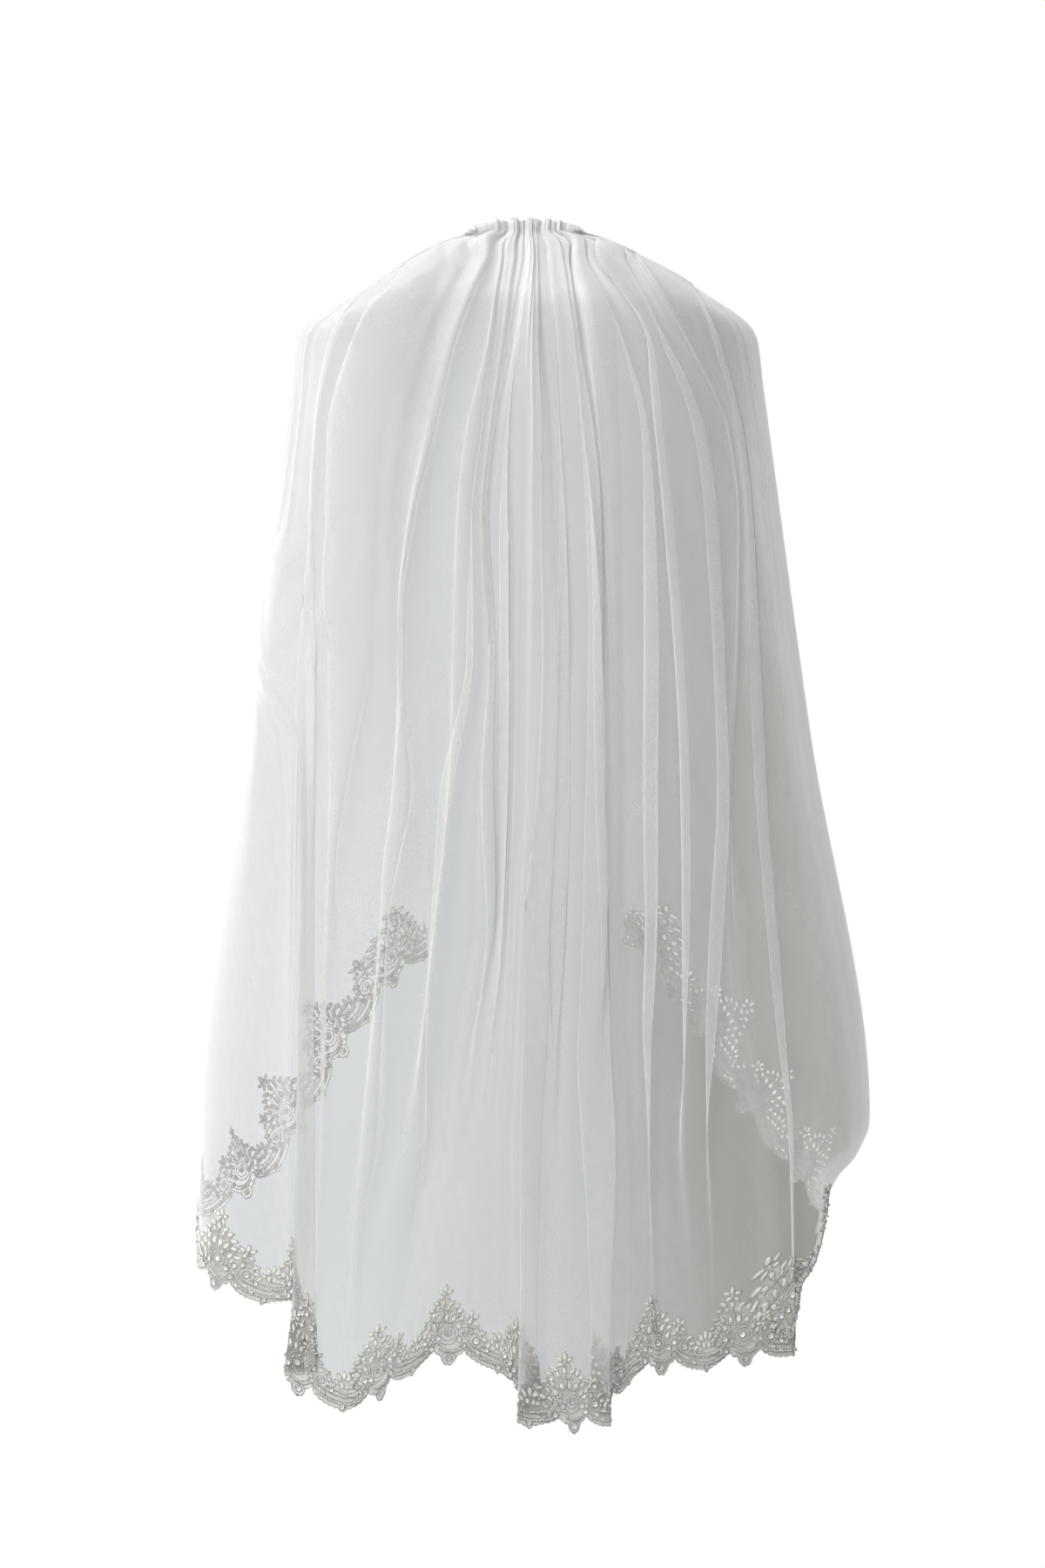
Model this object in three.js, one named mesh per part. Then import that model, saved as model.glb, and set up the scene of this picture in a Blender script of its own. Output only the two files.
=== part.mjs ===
// A one-tier lace bridal veil: a sheet of soft tulle gathered on a comb at the nape of the neck,
// falling over both shoulders, with a scalloped lace trim along its lower edge.
// Millimetres, +Z up. The origin is the middle of the comb, +Y points to the wearer's front and
// +X to the wearer's right, so a look along +Y shows the back of the veil.

import * as THREE from "three";

// Driving dimensions
const WALL = 1.2;
const SEAM_GAP = 0.7; // between the tulle's lower edge and the trim's upper edge

// The gather on the comb: its width, and the short ruffle that stands above the stitching
const GATHER_WIDTH = 97;
const RUFFLE_HEIGHT = 9;
const RUFFLE_LEAN = 3;
const RUFFLE_SHARE = 0.84;
const STITCH_DEPTH = -4.9;

// Where a rib's knots lie: shares of its way from the stitching to the crest, from the crest to
// the belly, and of its fall from the crest to the hem
const SHOULDER_LEAD = 0.74;
const SHOULDER_TAIL = 0.13;
const BELLY_SHARE = 0.45;
const FLARE_SHARE = 0.88;

// Small pleats at the comb, which fade over a share of the drop
const PLEATS = 13;
const PLEAT_DEPTH = 1.9;
const PLEAT_FADE = 0.1;

// The long folds grow between two shares of the drop, from a share of their depth and width.
// Their lines hold as listed on a row this wide, and draw together on the narrower rows above.
const FOLD_START = 0.05;
const FOLD_FULL = 0.4;
const GATHERED_DEPTH_SHARE = 0.1;
const GATHERED_WIDTH_SHARE = 0.5;
const LEAST_SPREAD = 0.2;
const FOLD_ROW_WIDTH = 380;

// The scalloped trim: its repeats along the hem, its height at a motif's tip and between two
// motifs, and how far its tongues hang below the hem
const MOTIFS = 21;
const TRIM_PEAK = 58;
const TRIM_VALLEY = 30;
const TRIM_TONGUE = 7;
const PEAK_POWER = 4;

// Facets of the two walls, which share their columns
const COLUMNS_PER_MOTIF = 6;
const TULLE_ROWS = 14;
const TULLE_ROW_POWER = 1.5;
const TRIM_ROWS = 2;

// How the columns turn square to the hem on the front panels: how high that reaches, how it fades
// towards the front edges, and the hem's depths between which a panel counts as front
const TRIM_SQUARING = 110;
const TRIM_END_FADE = 70;
const FRONT_FROM = 20;
const FRONT_FULL = 90;
const LEAN_REACH = 30;

// Steps of the working
const ROW_STEPS = 400;
const HEM_SAMPLES = 2400;
const HALVINGS = 30;
const NORMAL_REACH = 9;
const PLACING_SHARE = 0.9;

const COMB = {
  width: 68,
  spineHeight: 9,
  thickness: 2,
  teeth: 17,
  toothWidth: 2,
  toothTip: 1,
  toothLength: 36,
  endToothWidth: 3.4,
};

// Each rib is one line down the cloth, from the comb over the body to the hem, at rest on the
// wearer. gather is its x on the comb; crest is where it turns over the shoulder or the upper back;
// belly and flare lie on its fall; hem is its end. The rows go from the left front edge round the
// back to the right front edge.
const RIB_COLUMNS = "gather crestX crestY crestZ bellyX bellyY flareX flareY hemX hemY hemZ".split(" ");
const RIBS = [
  // left front panel
  [-47, -74, 46, -20, -84, 150, -86, 178, -84, 182, -600],
  [-44, -96, 60, -36, -118, 160, -124, 174, -124, 174, -636],
  [-40.5, -122, 66, -50, -160, 150, -172, 148, -172, 144, -712],
  [-36.5, -154, 66, -66, -198, 118, -222, 108, -228, 96, -797],
  // left side
  [-32, -187, 52, -79, -232, 58, -264, 46, -273, 36, -824],
  [-29.5, -190, 26, -84, -237, 14, -270, -4, -270, -14, -850],
  [-27, -172, -4, -86, -224, -26, -245, -40, -244, -46, -866],
  // back, with its middle panel hanging lowest
  [-24, -140, -24, -80, -186, -42, -196, -50, -192, -52, -878],
  [-21, -128, -28, -74, -176, -46, -180, -54, -178, -58, -946],
  [-16, -92, -32, -66, -118, -50, -138, -56, -140, -58, -958],
  [-10, -48, -32, -60, -58, -50, -78, -54, -72, -56, -920],
  [-4, -16, -30, -60, -18, -50, -24, -54, -24, -54, -926],
  [0, 4, -30, -60, 4, -52, -4, -60, 0, -64, -962],
  [6, 22, -30, -60, 32, -52, 32, -62, 34, -66, -974],
  [11, 44, -30, -60, 66, -50, 66, -60, 66, -62, -962],
  [15, 56, -30, -62, 80, -48, 84, -54, 88, -56, -932],
  [21, 94, -30, -68, 130, -44, 132, -50, 138, -54, -926],
  [26, 140, -22, -78, 185, -34, 205, -46, 214, -50, -914],
  // right side, which swings out and tucks in above the trim
  [29.5, 176, 2, -84, 224, -14, 266, -24, 234, -34, -868],
  [32, 192, 34, -83, 238, 30, 288, 26, 249, 14, -815],
  // right front panel
  [36.5, 172, 62, -74, 226, 92, 252, 80, 232, 72, -792],
  [40.5, 132, 66, -52, 170, 144, 186, 136, 184, 128, -730],
  [44, 98, 60, -36, 122, 160, 130, 172, 132, 168, -640],
  [47, 74, 46, -20, 84, 150, 86, 178, 84, 182, -590],
];

// Each fold follows a line down the back, given by its x at five heights. depth is how far it
// stands out and width its half width. A step of 1 or -1 is the edge of a pleat, whose right or
// left side lies outside, and 0 is a plain ridge.
const FOLD_HEIGHTS = [-60, -240, -460, -745, -960];
const FOLD_COLUMNS = "atTop atBlades atWaist atHip atHem depth width step".split(" ");
const FOLDS = [
  [-136, -167, -179, -184, -186, 12, 17, 1],
  [-84, -120, -134, -160, -172, 7, 9, 0],
  [-53, -96, -117, -141, -160, 8, 9, 0],
  [-34, -68, -84, -127, -137, 8, 11, 1],
  [-22, -41, -78, -101, -109, 8, 9, 0],
  [-9, -23, -55, -78, -94, 8, 11, -1],
  [-1, -10, -29, -35, -40, 7, 9, 0],
  [6, 6, 4, -11, -5, 12, 15, 1],
  [26, 17, 28, 17, 26, 6, 9, 0],
  [37, 62, 48, 51, 53, 6, 8, 0],
  [48, 67, 71, 69, 73, 12, 15, -1],
  [93, 101, 102, 98, 104, 9, 7, 0],
  [97, 116, 128, 125, 134, 7, 12, 0],
  [104, 152, 160, 154, 170, 7, 14, 0],
  [141, 183, 192, 214, 218, 9, 14, -1],
];

const asRecords = (columns, rows) =>
  rows.map((row) => Object.fromEntries(columns.map((name, i) => [name, row[i]])));
const ribs = asRecords(RIB_COLUMNS, RIBS);
const folds = asRecords(FOLD_COLUMNS, FOLDS);

const lerp = THREE.MathUtils.lerp;
const smoothstep = THREE.MathUtils.smoothstep;

// Slopes of a curve through the knots that never overshoots them, and its value at one place.
function easySlopes(at, value) {
  const last = at.length - 1;
  const chord = value.slice(1).map((v, i) => (v - value[i]) / (at[i + 1] - at[i]));
  return at.map((_, i) => {
    if (i === 0 || i === last) return chord[Math.min(i, last - 1)];
    const before = chord[i - 1];
    const after = chord[i];
    if (before * after <= 0) return 0;
    const stepBefore = at[i] - at[i - 1];
    const stepAfter = at[i + 1] - at[i];
    const weightBefore = 2 * stepAfter + stepBefore;
    const weightAfter = stepAfter + 2 * stepBefore;
    return (weightBefore + weightAfter) / (weightBefore / before + weightAfter / after);
  });
}

function easyCurve(at, value) {
  const slope = easySlopes(at, value);
  return (x) => {
    let i = 0;
    while (i < at.length - 2 && x > at[i + 1]) i += 1;
    const step = at[i + 1] - at[i];
    const t = THREE.MathUtils.clamp((x - at[i]) / step, 0, 1);
    const s = 1 - t;
    return (
      value[i] * (1 + 2 * t) * s * s +
      value[i + 1] * t * t * (3 - 2 * t) +
      step * t * s * (slope[i] * s - slope[i + 1] * t)
    );
  };
}

// The knots of one rib, from the ruffle above the comb down to the hem.
function ribKnots(rib) {
  const stitch = new THREE.Vector3(rib.gather, STITCH_DEPTH, 0);
  const ruffle = new THREE.Vector3(rib.gather * RUFFLE_SHARE, STITCH_DEPTH - RUFFLE_LEAN, RUFFLE_HEIGHT);
  const crest = new THREE.Vector3(rib.crestX, rib.crestY, rib.crestZ);
  const hem = new THREE.Vector3(rib.hemX, rib.hemY, rib.hemZ);
  const belly = new THREE.Vector3(rib.bellyX, rib.bellyY, lerp(crest.z, hem.z, BELLY_SHARE));
  const flare = new THREE.Vector3(rib.flareX, rib.flareY, lerp(crest.z, hem.z, FLARE_SHARE));
  return [
    ruffle,
    stitch,
    stitch.clone().lerp(crest, SHOULDER_LEAD),
    crest,
    crest.clone().lerp(belly, SHOULDER_TAIL),
    belly,
    flare,
    hem,
  ];
}

// A rib as a curve: point(share) with the share of its length, and that length.
function ribCurve(rib) {
  const knots = ribKnots(rib);
  const reach = [0];
  knots.slice(1).forEach((k, i) => reach.push(reach[i] + k.distanceTo(knots[i])));
  const length = reach.at(-1);
  const at = reach.map((r) => r / length);
  const [x, y, z] = ["x", "y", "z"].map((axis) => easyCurve(at, knots.map((k) => k[axis])));
  return { length, point: (share) => new THREE.Vector3(x(share), y(share), z(share)) };
}

const curves = ribs.map(ribCurve);

// The place of each rib across the cloth, measured along the ribs' lower parts.
const ribPlaces = [0];
curves.slice(1).forEach((curve, i) => {
  const step = curve.point(PLACING_SHARE).distanceTo(curves[i].point(PLACING_SHARE));
  ribPlaces.push(ribPlaces[i] + step);
});
const CLOTH_SPAN = ribPlaces.at(-1);
const ribLength = easyCurve(ribPlaces, curves.map((c) => c.length));

// The cloth without its folds, as a row at one share of the drop.
function bareRow(share) {
  const points = curves.map((curve) => curve.point(share));
  const [x, y, z] = ["x", "y", "z"].map((axis) => easyCurve(ribPlaces, points.map((p) => p[axis])));
  return (place) => new THREE.Vector3(x(place), y(place), z(place));
}

const leftmost = ribPlaces[ribs.findIndex((rib) => rib.crestX === Math.min(...ribs.map((r) => r.crestX)))];
const rightmost = ribPlaces[ribs.findIndex((rib) => rib.crestX === Math.max(...ribs.map((r) => r.crestX)))];

// Where a fold's line crosses a row, as a place across the cloth.
function foldPlace(fold, row) {
  const heights = [...FOLD_HEIGHTS].reverse();
  const line = easyCurve(heights, [fold.atHem, fold.atHip, fold.atWaist, fold.atBlades, fold.atTop]);
  const top = row((leftmost + rightmost) / 2).z;
  const squeeze = top > FOLD_HEIGHTS[0] ? (row(rightmost).x - row(leftmost).x) / FOLD_ROW_WIDTH : 1;
  let low = leftmost;
  let high = rightmost;
  for (let i = 0; i < HALVINGS; i += 1) {
    const middle = (low + high) / 2;
    const p = row(middle);
    if (p.x < line(p.z) * squeeze) low = middle;
    else high = middle;
  }
  return (low + high) / 2;
}

// The whole cloth surface as rows: each gives the folded point at a place across the cloth.
function foldedRow(share) {
  const bare = bareRow(share);
  const drop = smoothstep(share, FOLD_START, FOLD_FULL);
  const grown = lerp(GATHERED_DEPTH_SHARE, 1, drop);
  const widened = lerp(GATHERED_WIDTH_SHARE, 1, drop);
  const places = folds.map((fold) => foldPlace(fold, bare));
  const pleat = PLEAT_DEPTH * Math.exp(-((share / PLEAT_FADE) ** 2));
  return (place) => {
    const p = bare(place);
    const ahead = bare(Math.min(place + 1, CLOTH_SPAN));
    const behind = bare(Math.max(place - 1, 0));
    const along = ahead.sub(behind).setZ(0);
    const spread = along.length() / 2;
    along.normalize();
    const out = new THREE.Vector3(along.y, -along.x, 0);
    folds.forEach((fold, i) => {
      const t = ((place - places[i]) * Math.max(spread, LEAST_SPREAD)) / (fold.width * widened);
      const bell = Math.exp(-t * t);
      const shape = fold.step === 0 ? bell : 2 * fold.step * t * bell;
      p.addScaledVector(out, fold.depth * grown * shape);
    });
    const across = bare(place).x / GATHER_WIDTH;
    p.addScaledVector(out, pleat * Math.cos(2 * Math.PI * PLEATS * across));
    return p;
  };
}

// Columns lie at even steps along the hem, so that a whole number of them makes each lace motif.
function hemColumns() {
  const row = foldedRow(1);
  const places = Array.from({ length: HEM_SAMPLES + 1 }, (_, i) => (CLOTH_SPAN * i) / HEM_SAMPLES);
  const reach = [0];
  let last = row(0);
  places.slice(1).forEach((place, i) => {
    const next = row(place);
    reach.push(reach[i] + Math.hypot(next.x - last.x, next.y - last.y));
    last = next;
  });
  const count = MOTIFS * COLUMNS_PER_MOTIF;
  return Array.from({ length: count + 1 }, (_, column) => {
    const want = (reach.at(-1) * column) / count;
    const i = column === count ? HEM_SAMPLES : reach.findIndex((r) => r >= want);
    if (i === 0) return 0;
    return lerp(places[i - 1], places[i], (want - reach[i - 1]) / (reach[i] - reach[i - 1]));
  });
}

const columns = hemColumns();

// Height of the trim's upper edge and drop of its lower edge, at a column.
function trimTop(column) {
  const phase = (column / COLUMNS_PER_MOTIF) % 1;
  return lerp(TRIM_VALLEY, TRIM_PEAK, Math.cos(Math.PI * phase) ** PEAK_POWER);
}

function trimTongue(column) {
  const phase = (column / COLUMNS_PER_MOTIF) % 1;
  return TRIM_TONGUE * Math.abs(Math.cos(2 * Math.PI * phase));
}

// The folded surface at a place across the cloth and a share of the drop. A share over 1 runs on
// straight past the hem. Rows are made once, at even steps, and blended between.
const madeRows = new Map();

function rowAt(step) {
  if (!madeRows.has(step)) madeRows.set(step, foldedRow(step / ROW_STEPS));
  return madeRows.get(step);
}

function surfacePoint(place, share) {
  const step = Math.min(Math.max(Math.floor(share * ROW_STEPS), 0), ROW_STEPS - 1);
  const above = rowAt(step)(place);
  const below = rowAt(step + 1)(place);
  return above.addScaledVector(below.sub(above), share * ROW_STEPS - step);
}

function surfaceNormal(place, share) {
  const left = surfacePoint(Math.max(place - NORMAL_REACH, 0), share);
  const right = surfacePoint(Math.min(place + NORMAL_REACH, CLOTH_SPAN), share);
  const high = surfacePoint(place, Math.max(share - 1 / ROW_STEPS, 0));
  const low = surfacePoint(place, share + 1 / ROW_STEPS);
  return low.sub(high).cross(right.sub(left)).normalize();
}

// On the front panels, whose hems rise steeply, each column starts on the hem at a right angle to
// it and turns up into the line of the ribs. lean is how far it moves across the cloth and climb
// how much of the drop it gains, for each millimetre above the hem.
function columnStart(place) {
  const left = Math.max(place - LEAN_REACH, 0);
  const right = Math.min(place + LEAN_REACH, CLOTH_SPAN);
  const hem = bareRow(1);
  const along = hem(right).sub(hem(left));
  const perPlace = along.length() / (right - left);
  along.normalize();
  const length = ribLength(place);
  const rise = bareRow(1 - LEAN_REACH / length)(place).sub(hem(place)).divideScalar(LEAN_REACH);
  const sideways = rise.dot(along);
  const square = Math.sqrt(Math.max(rise.lengthSq() - sideways ** 2, 0.1));
  const fromEnd = Math.min(place, CLOTH_SPAN - place);
  const isFront = smoothstep(hem(place).y, FRONT_FROM, FRONT_FULL);
  const fade = isFront * smoothstep(fromEnd, 0, TRIM_END_FADE);
  return {
    place,
    length,
    lean: (-fade * sideways) / square / perPlace,
    climb: lerp(1, 1 / square, fade),
  };
}

const columnStarts = columns.map(columnStart);

// A column's place across the cloth and share of the drop, at a height above the hem.
function onColumn(column, above) {
  const { place, length, lean, climb } = columnStarts[column];
  const square = above < 0 ? 1 : Math.exp(-((above / TRIM_SQUARING) ** 2));
  return {
    place: THREE.MathUtils.clamp(place + lean * above * square, 0, CLOTH_SPAN),
    share: 1 - (above / length) * lerp(1, climb, square),
  };
}

// A closed wall of even thickness. heightAt(column, row) is the height above the hem of each
// grid point, with rows from top to bottom.
function wallGeometry(rows, heightAt) {
  const count = columns.length;
  const positions = [];
  [0.5, -0.5].forEach((side) => {
    for (let row = 0; row < rows; row += 1) {
      columns.forEach((_, column) => {
        const { place, share } = onColumn(column, heightAt(column, row));
        const point = surfacePoint(place, share);
        positions.push(...point.addScaledVector(surfaceNormal(place, share), side * WALL).toArray());
      });
    }
  });
  const at = (side, row, column) => side * rows * count + row * count + column;
  const faces = [];
  const quad = (a, b, c, d) => faces.push(a, b, c, a, c, d);
  for (let row = 0; row < rows - 1; row += 1) {
    for (let column = 0; column < count - 1; column += 1) {
      quad(at(0, row, column), at(0, row + 1, column), at(0, row + 1, column + 1), at(0, row, column + 1));
      quad(at(1, row, column), at(1, row, column + 1), at(1, row + 1, column + 1), at(1, row + 1, column));
    }
    quad(at(0, row, 0), at(1, row, 0), at(1, row + 1, 0), at(0, row + 1, 0));
    quad(at(1, row, count - 1), at(0, row, count - 1), at(0, row + 1, count - 1), at(1, row + 1, count - 1));
  }
  for (let column = 0; column < count - 1; column += 1) {
    quad(at(0, 0, column), at(0, 0, column + 1), at(1, 0, column + 1), at(1, 0, column));
    const end = rows - 1;
    quad(at(0, end, column), at(1, end, column), at(1, end, column + 1), at(0, end, column + 1));
  }
  return new THREE.BufferGeometry()
    .setAttribute("position", new THREE.Float32BufferAttribute(positions, 3))
    .setIndex(faces);
}

function tulleWall() {
  return wallGeometry(TULLE_ROWS + 1, (column, row) => {
    const seam = trimTop(column) + SEAM_GAP;
    const top = columnStarts[column].length;
    return lerp(top, seam, (row / TULLE_ROWS) ** TULLE_ROW_POWER);
  });
}

function trimWall() {
  return wallGeometry(TRIM_ROWS + 1, (column, row) =>
    lerp(trimTop(column), -trimTongue(column), row / TRIM_ROWS),
  );
}

// The comb: a spine with a row of tapered teeth that point down, behind the gathers.
function combShape() {
  const half = COMB.width / 2;
  const pitch = (COMB.width - COMB.endToothWidth) / (COMB.teeth - 1);
  const spineFoot = -COMB.spineHeight / 2;
  const tip = spineFoot - COMB.toothLength;
  const shape = new THREE.Shape();
  shape.moveTo(-half, COMB.spineHeight / 2);
  for (let tooth = 0; tooth < COMB.teeth; tooth += 1) {
    const middle = -half + COMB.endToothWidth / 2 + pitch * tooth;
    const isEnd = tooth === 0 || tooth === COMB.teeth - 1;
    const root = (isEnd ? COMB.endToothWidth : COMB.toothWidth) / 2;
    shape.lineTo(middle - root, spineFoot);
    shape.lineTo(middle - COMB.toothTip / 2, tip);
    shape.lineTo(middle + COMB.toothTip / 2, tip);
    shape.lineTo(middle + root, spineFoot);
  }
  shape.lineTo(half, COMB.spineHeight / 2);
  return shape;
}

function combMesh() {
  const geometry = new THREE.ExtrudeGeometry(combShape(), {
    depth: COMB.thickness,
    bevelEnabled: false,
  });
  const mesh = new THREE.Mesh(geometry, COMB_PLASTIC);
  mesh.name = "comb";
  mesh.rotation.x = Math.PI / 2;
  mesh.position.y = COMB.thickness / 2;
  return mesh;
}

const TULLE_NET = new THREE.MeshStandardMaterial({
  color: 0xe6e8ec,
  roughness: 0.7,
  metalness: 0,
  side: THREE.DoubleSide,
});
const LACE_SATIN = new THREE.MeshStandardMaterial({ color: 0xe9e7e2, roughness: 0.45, metalness: 0 });
const COMB_PLASTIC = new THREE.MeshStandardMaterial({ color: 0xe8e6e0, roughness: 0.25, metalness: 0 });

function clothMesh(name, geometry, material) {
  const mesh = new THREE.Mesh(geometry, material);
  mesh.name = name;
  return mesh;
}

const veil = new THREE.Group();
veil.add(
  clothMesh("tulle", tulleWall(), TULLE_NET),
  clothMesh("lace_trim", trimWall(), LACE_SATIN),
  combMesh(),
);

export default veil;
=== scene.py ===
"""Looks of the lace bridal veil: soft net with its folds, corded and beaded lace along the hem, and the
comb with its binding thread. Tables are in millimetres and every mesh is in metres, in the row's frame."""

import logging  # noqa: E402
import math  # noqa: E402
from collections.abc import Callable, Sequence  # noqa: E402
from dataclasses import dataclass  # noqa: E402
from enum import Enum  # noqa: E402

import bpy  # noqa: E402
import numpy as np  # noqa: E402
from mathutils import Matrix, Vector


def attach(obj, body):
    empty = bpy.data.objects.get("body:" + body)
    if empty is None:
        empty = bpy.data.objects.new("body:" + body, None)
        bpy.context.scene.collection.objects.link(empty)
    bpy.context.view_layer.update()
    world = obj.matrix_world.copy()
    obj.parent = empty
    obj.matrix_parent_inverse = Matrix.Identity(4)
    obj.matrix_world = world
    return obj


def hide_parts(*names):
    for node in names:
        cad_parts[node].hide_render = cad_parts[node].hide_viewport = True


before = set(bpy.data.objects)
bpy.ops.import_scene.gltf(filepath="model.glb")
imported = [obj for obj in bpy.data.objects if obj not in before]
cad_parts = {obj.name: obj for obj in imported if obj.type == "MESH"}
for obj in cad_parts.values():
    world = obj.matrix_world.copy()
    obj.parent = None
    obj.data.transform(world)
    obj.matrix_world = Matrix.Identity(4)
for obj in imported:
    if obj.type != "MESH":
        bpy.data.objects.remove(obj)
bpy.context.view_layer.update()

logging.basicConfig(level=logging.INFO, format="%(name)s: %(message)s")
LOG = logging.getLogger("veil")

MM = 0.001

# One line down the cloth at rest: gather is its x on the comb, crest where it turns over at the top, belly
# and flare lie on its fall, and hem is its end.
RIBS = np.array(
    [
        [-47, -74, 46, -20, -84, 150, -86, 178, -84, 182, -600],
        [-44, -96, 60, -36, -118, 160, -124, 174, -124, 174, -636],
        [-40.5, -122, 66, -50, -160, 150, -172, 148, -172, 144, -712],
        [-36.5, -154, 66, -66, -198, 118, -222, 108, -228, 96, -797],
        [-32, -187, 52, -79, -232, 58, -264, 46, -273, 36, -824],
        [-29.5, -190, 26, -84, -237, 14, -270, -4, -270, -14, -850],
        [-27, -172, -4, -86, -224, -26, -245, -40, -244, -46, -866],
        [-24, -140, -24, -80, -186, -42, -196, -50, -192, -52, -878],
        [-21, -128, -28, -74, -176, -46, -180, -54, -178, -58, -946],
        [-16, -92, -32, -66, -118, -50, -138, -56, -140, -58, -958],
        [-10, -48, -32, -60, -58, -50, -78, -54, -72, -56, -920],
        [-4, -16, -30, -60, -18, -50, -24, -54, -24, -54, -926],
        [0, 4, -30, -60, 4, -52, -4, -60, 0, -64, -962],
        [6, 22, -30, -60, 32, -52, 32, -62, 34, -66, -974],
        [11, 44, -30, -60, 66, -50, 66, -60, 66, -62, -962],
        [15, 56, -30, -62, 80, -48, 84, -54, 88, -56, -932],
        [21, 94, -30, -68, 130, -44, 132, -50, 138, -54, -926],
        [26, 140, -22, -78, 185, -34, 205, -46, 214, -50, -914],
        [29.5, 176, 2, -84, 224, -14, 266, -24, 234, -34, -868],
        [32, 192, 34, -83, 238, 30, 288, 26, 249, 14, -815],
        [36.5, 172, 62, -74, 226, 92, 252, 80, 232, 72, -792],
        [40.5, 132, 66, -52, 170, 144, 186, 136, 184, 128, -730],
        [44, 98, 60, -36, 122, 160, 130, 172, 132, 168, -640],
        [47, 74, 46, -20, 84, 150, 86, 178, 84, 182, -590],
    ],
    float,
)


class Lie(Enum):
    """How the cloth lies at a fold: a plain ridge, or a lap over its right or its left."""

    RIDGE = 0
    RIGHT = 1
    LEFT = -1


@dataclass(frozen=True)
class Fold:
    """One charted fold down the back.

    Attributes:
        line: its x at each of FOLD_HEIGHTS.
        lie: whether it is a plain ridge or the edge of a lap.
        depth: how far it stands out.
        width: how softly it turns, as a half width.
        strip: half the width of the strip that a lap covers.
        hem: the share of the strip that is left at the hem.
        first: the height where it begins.
        last: the height where it ends.
    """

    line: tuple[float, ...]
    lie: Lie
    depth: float
    width: float
    strip: float = 0.0
    hem: float = 1.0
    first: float = 0.0
    last: float = -1200.0


FOLD_HEIGHTS = np.array([-25, -97, -169, -241, -349, -457, -565, -673, -745, -817, -930], float)
FOLDS = (
    Fold((-120, -163, -174, -177, -178, -179, -180, -181, -182, -183, -183), Lie.RIGHT, 4, 12, 5),
    Fold((-98, -146, -166, -168, -166, -164, -164, -165, -166, -170, -172), Lie.RIGHT, 5, 6, 4, 0.3),
    Fold((-68, -103, -121, -126, -128, -143, -156, -158, -166, -168, -173), Lie.LEFT, 5, 6, 5, 0.2, 0, -560),
    Fold((-52, -84, -104, -114, -122, -138, -153, -156, -162, -167, -172), Lie.LEFT, 4, 6, 5, 0.0, 0, -420),
    Fold((-37, -66, -84, -99, -114, -132, -150, -155, -160, -166, -171), Lie.RIGHT, 6, 7, 10, 0.0),
    Fold((-27, -53, -67, -81, -93, -84, -104, -113, -118, -132, -140), Lie.LEFT, 6, 7, 9, 0.0),
    Fold((-23, -38, -58, -69, -74, -77, -86, -93, -100, -115, -126), Lie.RIGHT, 5, 6, 9, 0.0, 0, -760),
    Fold((-18, -27, -34, -41, -40, -55, -67, -78, -82, -96, -118), Lie.LEFT, 7, 8, 12, 0.0),
    Fold((-1, -13, -26, -32, -27, -31, -29, -44, -54, -64, -80), Lie.RIGHT, 5, 6, 9, 0.0, 0, -640),
    Fold((3, -7, -15, -18, -17, -18, -20, -28, -36, -44, -52), Lie.LEFT, 5, 6, 7, 0.3, -60, -640),
    Fold((10, 12, 16, 17, 19, 17, 10, 7, 4, 3, 2), Lie.RIGHT, 9, 10, 16, 0.8),
    Fold((18, 24, 27, 30, 32, 31, 27, 24, 24, 26, 27), Lie.LEFT, 5, 6, 8, 0.0, 0, -700),
    Fold((22, 30, 33, 37, 40, 41, 38, 35, 35, 37, 38), Lie.RIDGE, 5, 5, 0, 1, -380, -760),
    Fold((28, 36, 40, 44, 48, 50, 50, 48, 47, 47, 48), Lie.LEFT, 5, 6, 8, 0.0, 0, -680),
    Fold((34, 42, 50, 55, 58, 58, 59, 58, 59, 60, 60), Lie.LEFT, 9, 10, 16, 0.8),
    Fold((42, 62, 76, 80, 82, 83, 85, 90, 91, 92, 94), Lie.RIDGE, 5, 6, 0, 1, -500, -800),
    Fold((49, 80, 97, 101, 103, 102, 102, 98, 98, 101, 104), Lie.LEFT, 6, 6, 6, 0.3),
    Fold((58, 101, 109, 116, 123, 127, 128, 128, 125, 130, 134), Lie.RIGHT, 6, 8, 9, 0.0),
    Fold((80, 114, 144, 154, 158, 159, 155, 150, 147, 150, 154), Lie.LEFT, 6, 8, 8, 0.2),
    Fold((92, 133, 166, 174, 172, 167, 170, 176, 184, 188, 190), Lie.RIGHT, 5, 7, 4, 0.2, 0, -480),
    Fold((130, 158, 177, 184, 188, 192, 200, 209, 216, 217, 218), Lie.LEFT, 6, 10, 6, 0.6),
)


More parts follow.
